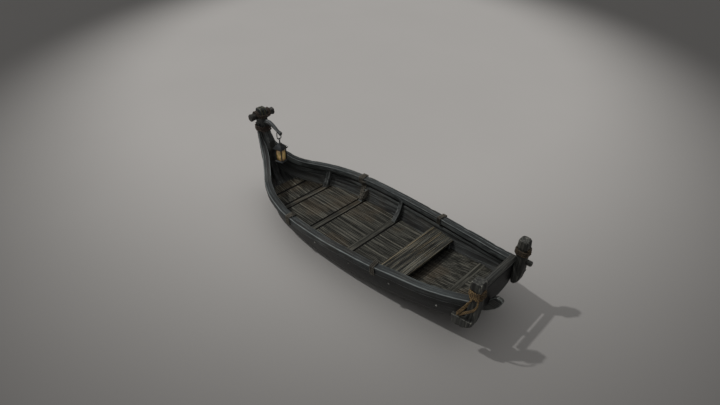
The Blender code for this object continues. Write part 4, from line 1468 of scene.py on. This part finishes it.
@dataclass
class SternGear:
    """Carved corner posts, the log between them and the peg."""

    finish: TimberFinish = TimberFinish(
        "stern_timber", deep=(0.014, 0.015, 0.014), body=(0.070, 0.072, 0.064), pale=(0.162, 0.162, 0.142),
        bare=(0.32, 0.32, 0.27), fibre=90.0, band=40.0, relief=0.002, wear=0.75)
    post: tuple[float, float] = (-1.905, 0.406)
    flute: float = 0.0045
    rope_top: float = 0.846
    brow: float = 0.930
    wider: float = 1.16
    squares: tuple[float, float] = (0.6, 0.15)

    def build(self) -> None:
        """Makes the stern's pieces."""
        material = self.finish.make()
        for (name, side), squared in zip(SIDES, self.squares):
            middle = np.array((self.post[0] + SHIFT, side * self.post[1]))
            head = middle + (0.008, -0.003 * side)

            def flutes(points: np.ndarray, grain: np.ndarray) -> np.ndarray:
                """Upright flutes round the post, deeper where the noise says.

                Args:
                    points: Places on the post.
                    grain: Their grain coordinates.

                Returns:
                    Depth at each point.
                """
                turn = np.arctan2(points[:, 1] - middle[1], points[:, 0] - middle[0])
                ridge = np.abs(np.sin(turn * 7.0))
                top = np.clip((0.965 - points[:, 2]) / 0.02, 0.0, 1.0)
                return (1.0 - ridge) ** 2 * self.flute * top + (fbm(grain, (3.0, 45.0, 45.0)) + 0.5) * 0.0022

            def block(points: np.ndarray) -> np.ndarray:
                """Squares and widens the head above the rope.

                Args:
                    points: Places on the post.

                Returns:
                    Their new places.
                """
                local = points[:, :2] - head
                turn = np.arctan2(local[:, 1], local[:, 0])
                across, along = np.abs(np.cos(turn)), np.abs(np.sin(turn))
                flat = np.maximum(across, along)
                corner = np.maximum(flat, (across + along) / math.sqrt(2.0)) / flat
                rise = np.clip((points[:, 2] - self.rope_top) / 0.022, 0.0, 1.0)
                brow = 1.0 + 0.12 * np.clip((points[:, 2] - self.brow) / 0.026, 0.0, 1.0)
                scale = 1.0 + rise * (self.wider * (1.0 + squared * (corner - 1.0)) * brow - 1.0)
                made = points.copy()
                made[:, :2] = head + local * scale[:, None]
                return made

            CarvedSkin([f"stern_post_{name}"], material, StraightGrain(Axis.Z, side), voxel=0.0042, carve=flutes,
                       reform=block, dark_tint=0.8).build()
        CarvedSkin(["stern_crossbeam"], material, StraightGrain(Axis.Y, 5.0), voxel=0.0045, carve=bark(0.0030),
                   dark_tint=0.5).build()
        CarvedSkin(["peg"], material, StraightGrain(Axis.X, 8.0), voxel=0.004, carve=bark(0.0012)).build()


@dataclass
class Prow:
    """The fluted stem, the log on its head and the horn-shaped arm."""

    finish: TimberFinish = TimberFinish(
        "stem_timber", deep=(0.010, 0.011, 0.011), body=(0.034, 0.038, 0.038), pale=(0.095, 0.103, 0.100),
        bare=(0.30, 0.32, 0.30), fibre=80.0, band=28.0, gloss=0.50, relief=0.002)
    log: TimberFinish = TimberFinish(
        "prow_log", deep=(0.014, 0.013, 0.012), body=(0.046, 0.043, 0.040), pale=(0.105, 0.098, 0.090), fibre=90.0,
        band=34.0)
    arm: TimberFinish = TimberFinish(
        "arm_timber", deep=(0.026, 0.030, 0.032), body=(0.095, 0.105, 0.110), pale=(0.21, 0.225, 0.23),
        bare=(0.40, 0.42, 0.42), fibre=80.0, band=40.0, gloss=0.5, warmth=0.1)
    groove: float = 0.0042
    ripple: float = 0.0020
    lashed_from: float = 1.19
    stem_line: tuple[tuple[float, float], ...] = (
        (1.6005, 0.152), (1.70, 0.232), (1.80, 0.350), (1.850, 0.480), (1.862, 0.640), (1.866, 0.800),
        (1.900, 0.945), (1.912, 1.060), (1.914, 1.284),
    )
    arm_line: tuple[tuple[float, float], ...] = (
        (1.8333, 1.092), (1.790, 1.108), (1.730, 1.112), (1.670, 1.098), (1.615, 1.075), (1.575, 1.054),
        (1.545, 1.040), (1.515, 1.030), (1.497, 1.024),
    )

    def build(self) -> None:
        """Makes the prow's pieces."""
        stem, log, arm = self.finish.make(), self.log.make(), self.arm.make()
        stem_grain, arm_grain = (
            CurveGrain(tuple((x + SHIFT, z) for x, z in line), offset)
            for line, offset in ((self.stem_line, 0.0), (self.arm_line, 3.0))
        )

        def flutes(points: np.ndarray, grain: np.ndarray) -> np.ndarray:
            """Grooves that run up the stem's sides and faces.

            Args:
                points: Places on the stem.
                grain: Their grain coordinates.

            Returns:
                Depth at each point.
            """
            ridge = np.abs(np.sin(grain[:, 1] * math.pi / 0.034))
            side = np.abs(np.sin((grain[:, 2] + 0.0165) * math.pi / 0.033))
            flat = np.abs(points[:, 1]) > STEM_HALF - 0.008
            groove = np.where(flat, (1 - ridge) ** 2, (1 - side) ** 2 * 0.8)
            held = (points[:, 2] < 0.86) & (points[:, 0] < 1.90 + SHIFT)
            notch = np.clip(1.0 - ((np.abs(points[:, 1]) - 0.025) / 0.012) ** 2, 0.0, 1.0) * 0.013
            notch = np.where(points[:, 2] > self.lashed_from, notch, 0.0)
            ripple = (fbm(grain, (3.0, 36.0, 36.0)) + 0.5) * self.ripple
            return np.where(held, 0.0, groove * self.groove + ripple + notch)

        CarvedSkin(["stem"], stem, stem_grain, voxel=0.0055, carve=flutes, square=0.60, dark_tint=0.9).build()
        CarvedSkin(["prow_crossbar"], log, StraightGrain(Axis.Y, 2.0), voxel=0.004, carve=bark(0.0030)).build()
        CarvedSkin(["horn_arm"], arm, arm_grain, voxel=0.0024, carve=bark(0.0022), dark_tint=0.8).build()


# Ropes and nails


def rope_tree() -> GeometryTree:
    """A laid rope of three strands along a line.

    Returns:
        The tree.
    """
    tree = GeometryTree("laid_rope", {
        "Radius": ("Float", 0.01), "Spacing": ("Float", 0.005), "Twist": ("Float", 90.0), "Sides": ("Int", 15)})
    given = tree.given
    line = tree.node("GeometryNodeMeshToCurve", None, {"Mesh": given["Geometry"]})
    sockets = {"Curve": line, "Length": given["Spacing"]}
    even = tree.node("GeometryNodeResampleCurve", {"mode": "LENGTH"}, sockets)
    run = tree.node("GeometryNodeSplineParameter", output="Length")
    sockets = {"Curve": tree.store(even, "along", run), "Tilt": run * given["Twist"]}
    turned = tree.node("GeometryNodeSetCurveTilt", None, sockets)
    sockets = {"Resolution": given["Sides"], "Radius": 1.0}
    ring = tree.node("GeometryNodeCurvePrimitiveCircle", {"mode": "RADIUS"}, sockets)
    place = tree.node("GeometryNodeInputPosition")
    angle = place.part(1).angle(place.part(0))
    reach = (abs((angle * 1.5).cosine()) * 0.30 + 0.70) * given["Radius"]
    scaled = tree.node("ShaderNodeVectorMath", {"operation": "SCALE"}, {0: place, "Scale": reach})
    sockets = {"Geometry": tree.store(ring, "around", angle), "Position": scaled}
    shaped = tree.node("GeometryNodeSetPosition", None, sockets)
    sockets = {"Curve": turned, "Profile Curve": shaped, "Fill Caps": True}
    tree.close(tree.node("GeometryNodeCurveToMesh", None, sockets))
    return tree


def nail_tree() -> GeometryTree:
    """A domed nail head at each point, facing along the point's own direction.

    Returns:
        The tree.
    """
    tree = GeometryTree("nail_heads", {"Radius": ("Float", 0.008), "Height": ("Float", 0.45), "Seed": ("Int", 3)})
    given = tree.given
    dome = tree.node("GeometryNodeMeshUVSphere", None, {"Segments": 12, "Rings": 6, "Radius": given["Radius"]})
    facing = tree.node("GeometryNodeInputNamedAttribute", {"data_type": "FLOAT_VECTOR"}, {"Name": "facing"})
    turn = tree.node("FunctionNodeAlignRotationToVector", {"axis": "Z"}, {"Vector": facing})
    sockets = {2: 0.85, 3: 1.15, "Seed": given["Seed"]}
    size = tree.node("FunctionNodeRandomValue", {"data_type": "FLOAT"}, sockets, 1)
    scale = tree.node("ShaderNodeCombineXYZ", None, {0: size, 1: size, 2: given["Height"]})
    points = tree.node("GeometryNodeMeshToPoints", None, {"Mesh": given["Geometry"]})
    sockets = {"Points": points, "Instance": dome, "Rotation": turn, "Scale": scale}
    tree.close(tree.node("GeometryNodeInstanceOnPoints", None, sockets))
    return tree


def wrap(corners: Sequence[Sequence[float]], offset: float, steps: int) -> list[np.ndarray]:
    """A line that runs round a convex polygon at one distance.

    Args:
        corners: The polygon's corners, anticlockwise.
        offset: Distance from it.
        steps: Steps of the arc at each corner.

    Returns:
        Points of the line, the same number for each corner.
    """
    points = []
    count = len(corners)
    for i in range(count):
        a, b, c = (np.array(corners[(i + k) % count], float) for k in (-1, 0, 1))
        first, second = (b - a) / np.linalg.norm(b - a), (c - b) / np.linalg.norm(c - b)
        start = math.atan2(-first[0], first[1])
        turn = math.atan2(first[0] * second[1] - first[1] * second[0], float(first @ second))
        for k in range(steps + 1):
            angle = start + turn * k / steps
            far = offset / math.cos(turn / steps / 2) if 0 < k < steps else offset
            points.append(b + far * np.array((math.cos(angle), math.sin(angle))))
    return points


@dataclass
class Ropework:
    """Every lashing, as laid rope along the route that its solid takes."""

    form: HullForm
    # each rope's dark, body and pale colours: painted valley shade and darker patches, the rope's own colour, painted
    # crown highlights
    grey: RopeFinish = RopeFinish("weathered_hemp", (0.008, 0.007, 0.006), (0.130, 0.119, 0.097), (0.46, 0.42, 0.34))
    brown: RopeFinish = RopeFinish("tan_hemp", (0.009, 0.006, 0.003), (0.140, 0.088, 0.038), (0.80, 0.56, 0.24))
    # a darker copy of tan_hemp, painted shade for the starboard post's lashing
    dim: RopeFinish = RopeFinish("shaded_hemp", (0.012, 0.009, 0.006), (0.070, 0.048, 0.026), (0.26, 0.17, 0.07))
    russet: RopeFinish = RopeFinish("russet_hemp", (0.010, 0.007, 0.006), (0.052, 0.037, 0.028), (0.12, 0.078, 0.052))
    mossy: RopeFinish = RopeFinish("mossy_hemp", (0.012, 0.012, 0.008), (0.100, 0.098, 0.060), (0.46, 0.45, 0.26))
    spacing: float = 0.0045
    lay_length: float = 7.5
    sides: int = 18
    gunwale_at: tuple[tuple[str, float, int], ...] = (("fore", 0.560, 4), ("aft", -0.800, 3))
    rope: float = 0.0085
    band_rope: float = 0.0095
    band_apart: float = 0.025
    caulking: float = 0.006
    post_rope: float = 0.010
    prow_rope: float = 0.011
    strand: float = 0.0075
    post_cut: float = 0.018
    post_levels: tuple[tuple[float, ...], ...] = (
        (0.372, POST_FACE, -1.905, 0.372, 0.462), (0.430, POST_FACE, -1.935, 0.356, 0.482),
        (0.520, POST_FACE, -1.950, 0.352, 0.482), (0.640, POST_FACE, -1.958, 0.350, 0.462),
        (0.800, POST_FACE, -1.952, 0.350, 0.456), (0.935, POST_FACE - 0.004, -1.938, 0.354, 0.452),
        (0.958, POST_FACE - 0.012, -1.930, 0.362, 0.444),
    )
    tie: tuple[Place, ...] = (
        (-1.888, 0.480, 0.766), (-1.874, 0.498, 0.722), (-1.850, 0.515, 0.668), (-1.826, 0.524, 0.620),
        (-1.804, 0.525, 0.580), (-1.792, 0.519, 0.556), (-1.788, 0.505, 0.544), (-1.790, 0.488, 0.540),
    )
    loop: tuple[Place, ...] = (
        (-1.948, 0.474, 0.872), (-1.962, 0.490, 0.822), (-1.966, 0.499, 0.752), (-1.946, 0.508, 0.700),
        (-1.914, 0.516, 0.664), (-1.872, 0.522, 0.622), (-1.840, 0.524, 0.584), (-1.812, 0.516, 0.556),
        (-1.802, 0.500, 0.544),
    )
    head_band: tuple[tuple[float, float], ...] = (
        (1.853, 1.190), (1.857, 1.225), (1.864, 1.252), (1.879, 1.2735), (1.910, 1.2745), (1.940, 1.2735),
        (1.956, 1.252), (1.965, 1.222), (1.970, 1.190),
    )
    tree: GeometryTree = field(default_factory=rope_tree)

    def lay(self, name: str, path: Sequence[Sequence[float]], radius: float, material: bpy.types.Material,
            cad: bool = True) -> None:
        """Lays one rope.

        Args:
            name: The node's name, or the piece's.
            path: Its line, before the shift.
            radius: Its radius.
            material: Its material.
            cad: Whether it stands for a CAD node.
        """
        mesh = bpy.data.meshes.new(name)
        points = [(p[0] + SHIFT, p[1], p[2]) for p in path]
        mesh.from_pydata(points, [(i, i + 1) for i in range(len(points) - 1)], [])
        twist = 2 * math.pi / (radius * self.lay_length)
        values = {
            "Radius": radius, "Spacing": self.spacing, "Twist": twist, "Sides": self.sides, "Material": material,
        }
        made = self.tree.run(name, mesh, values)
        publish(name + "_skin" * cad, made, material, nodes=[name] * cad)

    def lay_strands(self, name: str, path: Sequence[Place], offsets: dict[str, tuple[float, float]],
                    material: bpy.types.Material) -> None:
        """Lays loose strands side by side.

        Args:
            name: The first part of their names.
            path: The line between them, before the shift.
            offsets: Each strand's distance outward and upward, by the last part of its name.
            material: Their material.
        """
        for label, (out, up) in offsets.items():
            places = [(x, y + out, z + up) for x, y, z in path]
            self.lay(f"{name}_{label}", places, self.strand, material, cad=False)

    @staticmethod
    def on_side(path: Sequence[Sequence[float]], side: float) -> list[Place]:
        """A path of the port side on either side of the boat."""
        return [(p[0], side * p[1], p[2]) for p in path]

    def gunwale_lashing(self, x: float, turns: int) -> list[Vector]:
        """Winds a rope round the port gunwale.

        Args:
            x: Where, before the shift.
            turns: How often.

        Returns:
            Its line.
        """
        held = ((0.0, 0.0), (-CAP_WIDTH, 0.0), (-CAP_WIDTH, -0.077), (-0.045, -OUTWALE_DEPTH), (0.0, -OUTWALE_DEPTH))
        loop = wrap(held, self.rope + GAP, 2)
        point, along, out, up = self.form.gunwale_frame(x)
        pitch, first = 2 * self.rope + 0.0028, 9
        path = []
        for i in range(turns * len(loop) - 2):
            a, b = loop[(i + first) % len(loop)]
            path.append(point + out * a + up * b + along * ((i / len(loop) - turns / 2) * pitch))
        return path

    def bind_rib(self, material: bpy.types.Material) -> None:
        """Winds a rope round the starboard rib's head, below the fore lashing, with four loose ends.

        Args:
            material: The rope's material.
        """
        co = positions(frame["nodes"]["rib_b_starboard"].data)
        low, high = co.min(axis=0).tolist(), co.max(axis=0).tolist()
        middle, outward = (low[0] + high[0]) / 2, Vector((0.0, -1.0, 0.0))
        rib, wall = surface("rib_b_starboard"), surface("side_plank_starboard")
        top, turns, pitch = high[2] - 0.012, 6, 2 * self.rope + 0.001
        side, corners = self.rope * 1.05, 8
        path = []
        for i in range(turns * corners + 1):
            z = top - pitch * i / corners
            face = max(float(v[1]) for v in co if abs(v[2] - z) < 0.035) + self.rope * 1.1
            hit = wall.ray_cast(Vector((middle, -0.2, z)), outward)[0]
            back = (hit.y if hit is not None else face - 0.05) - 0.010
            half = (back + face) / 2
            ring = (
                (low[0] - side, back), (low[0] - side, half), (low[0] - side * 0.3, face), (middle, face),
                (high[0] + side * 0.3, face), (high[0] + side, half), (high[0] + side, back), (middle, back),
            )
            x, y = ring[i % corners]
            path.append((x - SHIFT, y, z))
        self.lay("rib_binding", path, self.rope, material, cad=False)
        for k, name in enumerate(("fore", "forward", "middle", "aft")):
            x = middle + 0.066 - k * 0.021
            strand = [(x - SHIFT, -0.568, 0.462)]
            for z in np.arange(0.43, low[2] + 0.02, -0.03).tolist():
                faces = [tree.ray_cast(Vector((x, -0.2, z)), outward)[0] for tree in (rib, wall)]
                hits = [hit.y for hit in faces if hit is not None]
                if hits:
                    away = self.rope * (2.6 if z > top - pitch * turns else 1.0)
                    strand.append((x - SHIFT, max(hits) + away, z))
            self.lay(f"rib_strand_{name}", strand, self.rope * 0.9, material, cad=False)

    def post_ring(self, z: float) -> list[tuple[float, float]]:
        """The port post's eight-sided outline.

        Args:
            z: At which height.

        Returns:
            Its corners.
        """
        levels = np.array(self.post_levels)
        fore, aft, inner, outer = (float(np.interp(z, levels[:, 0], levels[:, k])) for k in (1, 2, 3, 4))
        cut = self.post_cut
        return [
            (fore, inner + cut), (fore - cut, inner), (aft + cut, inner), (aft, inner + cut),
            (aft, outer - cut), (aft + cut, outer), (fore - cut, outer), (fore, outer - cut),
        ]

    def post_lashing(self) -> list[Place]:
        """Winds a rope round the port stern post.

        Returns:
            Its line.
        """
        pitch, first = 2 * self.post_rope + 0.001, 3
        count = len(wrap(self.post_ring(0.8), self.post_rope, 1))
        path = []
        for i in range(3 * count + 6):
            z = 0.782 + pitch * i / count
            x, y = wrap(list(reversed(self.post_ring(z))), self.post_rope + GAP, 1)[(i + first) % count]
            path.append((x, y, z))
        return path

    def build(self) -> None:
        """Lays every lashing."""
        grey, brown, dim, russet, mossy = (
            finish.make() for finish in (self.grey, self.brown, self.dim, self.russet, self.mossy)
        )
        for name, x, turns in self.gunwale_at:
            path = self.gunwale_lashing(x, turns)
            for label, side in SIDES:
                self.lay(f"gunwale_lashing_{name}_{label}", self.on_side(path, side), self.rope - 0.0006, grey)
        self.bind_rib(grey)
        turns = self.post_lashing()
        self.lay("post_lashing_port", list(reversed(turns)) + list(self.tie), self.post_rope, brown)
        # the starboard lashing takes the darker copy of the port rope as painted shade
        self.lay("post_lashing_starboard", self.on_side(turns, -1.0), self.post_rope, dim)
        self.lay_strands("post_tie", self.tie[1:6], {"upper": (0.003, 0.019), "lower": (0.004, -0.019)}, brown)
        self.lay_strands("post_loop", self.loop, {"upper": (0.0, 0.008), "lower": (0.003, -0.008)}, brown)
        self.lay("prow_lashing", self.prow_lashing(), self.prow_rope, russet)
        self.lay("prow_collar", self.collar(), self.prow_rope, russet)
        for name, side in SIDES:
            band = [(x, side * self.band_apart, z) for x, z in self.head_band]
            self.lay(f"head_band_{name}", band, self.band_rope, mossy, cad=False)
        for name, side in SIDES:
            places = np.linspace(1.606, 1.872, 9).tolist()
            seam = [(x, side * (STEM_HALF + 0.0015), self.form.at(x, Line.KEEL_UP) + 0.003) for x in places]
            self.lay(f"stem_caulking_{name}", seam, self.caulking, russet, cad=False)

    def prow_lashing(self) -> list[Place]:
        """Binds the log to the stem's head with two turns.

        Returns:
            The rope's line.
        """
        centre, radius = (1.905, 0.0, 1.1825), 0.062
        pitch = 2 * self.prow_rope + 0.0015
        half = [(1.9968, 0.0, 1.142, 1.0), (1.9968, 0.042, 1.142, 1.0), (1.996, 0.061, 1.146, 0.8)]
        half += [(1.985, 0.068, 1.162, 0.4)]
        for angle in (-5, 28, 61, 94, 127, 160):
            turned = math.radians(angle)
            half.append((centre[0] + radius * math.cos(turned), 0.070, centre[2] + radius * math.sin(turned), 0.0))
        half += [(1.833, 0.064, 1.199, 0.8), (1.8303, 0.042, 1.197, 1.0), (1.8303, 0.0, 1.197, 1.0)]
        turn = half + [(x, -y, z, low) for x, y, z, low in reversed(half[1:-1])]
        path = []
        for i in range(2 * len(turn) + 1):
            x, y, z, low = turn[i % len(turn)]
            drift = pitch * i / len(turn)
            side = 0.0 if abs(y) < 0.05 else math.copysign(1.0, y) * (1.0 if low == 0.0 else 0.5)
            lean = (0.07 if x > centre[0] else -0.06) * low * drift
            path.append((x + lean, y + side * drift, z - low * drift))
        return path

    def collar(self) -> list[Place]:
        """Binds the gunwale heads to the stem with three turns.

        Returns:
            The rope's line.
        """
        rope = self.prow_rope
        aft = ((0.910, 1.772), (0.985, 1.822), (1.050, 1.829), (1.130, 1.838))
        fore = ((0.905, 2.004), (1.000, 1.996), (1.130, 1.986))
        reach = [(step, rope - math.sqrt(rope**2 - step**2)) for step in np.linspace(-0.9, 0.9, 13) * rope]
        heads = np.array([(z, x, y) for x, y, z in self.form.head])
        per_turn, turns = 18, 3
        path = []
        for i in range(turns * per_turn + 1):
            z = 0.965 + (2 * rope + 0.0015) * i / per_turn
            front = max(float(np.interp(z + step, *zip(*fore))) - rise for step, rise in reach)
            back = min(float(np.interp(z + step, *zip(*aft))) + rise for step, rise in reach)
            head_x, head_y = (float(np.interp(z, heads[:, 0], heads[:, k])) for k in (1, 2))
            port = [(front, STEM_HALF), (head_x + 0.011, head_y + 0.001), (back, STEM_HALF)]
            x, y = wrap(port + [(x, -y) for x, y in reversed(port)], rope + GAP, 2)[i % per_turn]
            path.append((x, y, z))
        return path


@dataclass
class Nails:
    """Nail heads along the side planks, under the gunwales."""

    form: HullForm
    finish: MetalFinish = MetalFinish(
        "nail_iron", (0.20, 0.20, 0.19), (0.60, 0.60, 0.57), (0.12, 0.08, 0.05), 0.5, 0.36)
    places: tuple[float, float, float] = (-1.56, 1.28, 0.56)
    below: float = 0.216
    radius: float = 0.011
    proud: float = 0.001

    def build(self) -> None:
        """Sets the nails."""
        material = self.finish.make()
        tree = nail_tree()
        spots, facing = [], []
        for name, side in SIDES:
            plank = surface("side_plank_" + name)
            for x in np.arange(*self.places).tolist():
                point = self.form.gunwale_frame(x)[0]
                start = Vector((x + SHIFT, side * (point.y + 0.1), point.z - self.below))
                place, normal = plank.find_nearest(start)[:2]
                spots.append(tuple(place + normal * self.proud))
                facing.append(tuple(normal))
        mesh = bpy.data.meshes.new("nail_points")
        mesh.from_pydata(spots, [], [])
        set_attribute(mesh, "facing", np.array(facing))
        values = {"Radius": self.radius, "Height": 0.45, "Seed": 5, "Material": material}
        made = tree.run("gunwale_nails", mesh, values)
        set_attribute(made, "wear", np.zeros(len(made.vertices)))
        publish("gunwale_nails", made, material)


@dataclass
class Lantern:
    """The link, the tin frame, its amber panes and the candle."""

    tin: MetalFinish = MetalFinish(
        "old_tin", (0.008, 0.011, 0.014), (0.022, 0.027, 0.033), (0.045, 0.038, 0.014), 0.15, 0.62, (0.26, 0.22, 0.09))
    iron: MetalFinish = MetalFinish(
        "forged_iron", (0.007, 0.007, 0.008), (0.018, 0.018, 0.020), (0.030, 0.018, 0.010), 0.2, 0.6)

    def build(self) -> None:
        """Makes the lantern's pieces."""
        low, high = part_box("lantern_glass")
        tin, iron = self.tin.make(), self.iron.make()
        pane = PaneFinish("amber_pane", (LANTERN_X, 0.0, (low.z + high.z) / 2 - 0.01)).make()
        wax = WaxFinish("candle_wax_skin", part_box("candle")[1].z).make()
        up = StraightGrain(Axis.Z)
        TimberSkin(["lantern_frame"], tin, up, 0.0022, Slot.TIN, Body.LANTERN).build()
        TimberSkin(["lantern_glass"], pane, up, 0.0, Slot.PANE, Body.LANTERN).build()
        TimberSkin(["candle"], wax, up, 0.0, Slot.WAX, Body.LANTERN).build()
        TimberSkin(["lantern_link"], iron, up, 0.0, Slot.IRON, Body.LINK, swell=0.0020).build()


@dataclass
class Studio:
    """Floor, soft light and the camera at the photograph's viewing angle."""

    throw: Place = (-0.59, -0.465, -1.0)
    sun: float = 1.06
    sun_tone: Colour = (1.0, 0.985, 0.96)
    blur: float = 1.6
    sky: float = 0.80
    sky_tone: Colour = (1.0, 0.985, 0.97)
    lift: float = 2.5
    low: float = 0.075
    reach: float = 60.0
    ground: float = -0.0006
    lens: float = 23.46
    eye: Place = (-3.25, 3.25, 3.904)
    tilt: float = 90.0 - 35.264
    heading: float = -135.0

    def floor(self) -> None:
        """Lays the floor."""
        mesh = bpy.data.meshes.new("studio_floor")
        corners = ((-1, -1), (1, -1), (1, 1), (-1, 1))
        mesh.from_pydata([(x * self.reach, y * self.reach, self.ground) for x, y in corners], [], [(0, 1, 2, 3)])
        mesh.materials.append(FloorFinish("studio_floor").make())
        linked("studio_floor", mesh)

    def key(self) -> None:
        """Hangs the sun."""
        lamp = bpy.data.lights.new("key", "SUN")
        lamp.energy = self.sun
        lamp.angle = math.radians(self.blur)
        lamp.color = self.sun_tone
        key = linked("key", lamp)
        key.rotation_mode = "QUATERNION"
        key.rotation_quaternion = Vector(self.throw).to_track_quat("-Z", "Y")

    def dome(self) -> None:
        """Lights from a sky that is brightest overhead."""
        world = bpy.data.worlds.new("studio")
        world.use_nodes = True
        graph = Graph(world.node_tree)
        lit = world.node_tree.nodes["Background"]
        height = graph.node("ShaderNodeTexCoord", output="Generated").part(2).most(0.0)
        graph.feed(lit.inputs["Color"], self.sky_tone)
        graph.feed(lit.inputs["Strength"], height ** self.lift * self.sky + self.low)
        bpy.context.scene.world = world

    def camera(self) -> None:
        """Sets the camera up."""
        eye = bpy.data.cameras.new("camera")
        eye.lens = self.lens
        eye.sensor_width = 36.0
        eye.clip_start, eye.clip_end = 0.05, 200.0
        camera = linked("camera", eye)
        camera.location = (self.eye[0] + SHIFT, *self.eye[1:])
        camera.rotation_euler = (math.radians(self.tilt), 0.0, math.radians(self.heading))
        bpy.context.scene.camera = camera

    def build(self) -> None:
        """Makes the floor, the lights and the camera, and shows colours as they are."""
        self.floor()
        self.key()
        self.dome()
        self.camera()
        view = bpy.context.scene.view_settings
        view.view_transform = "Standard"
        view.look = "None"


def main() -> None:
    """Builds the boat's looks and the studio."""
    logging.basicConfig(level=logging.INFO, format="%(message)s")
    Studio().build()
    form = HullForm()
    parts = (
        Planking(form), Gunwales(form), Interior(), SternGear(), Prow(), Ropework(form), Nails(form), Lantern(),
    )
    for part in parts:
        part.build()


if __name__ == "__main__":
    main()
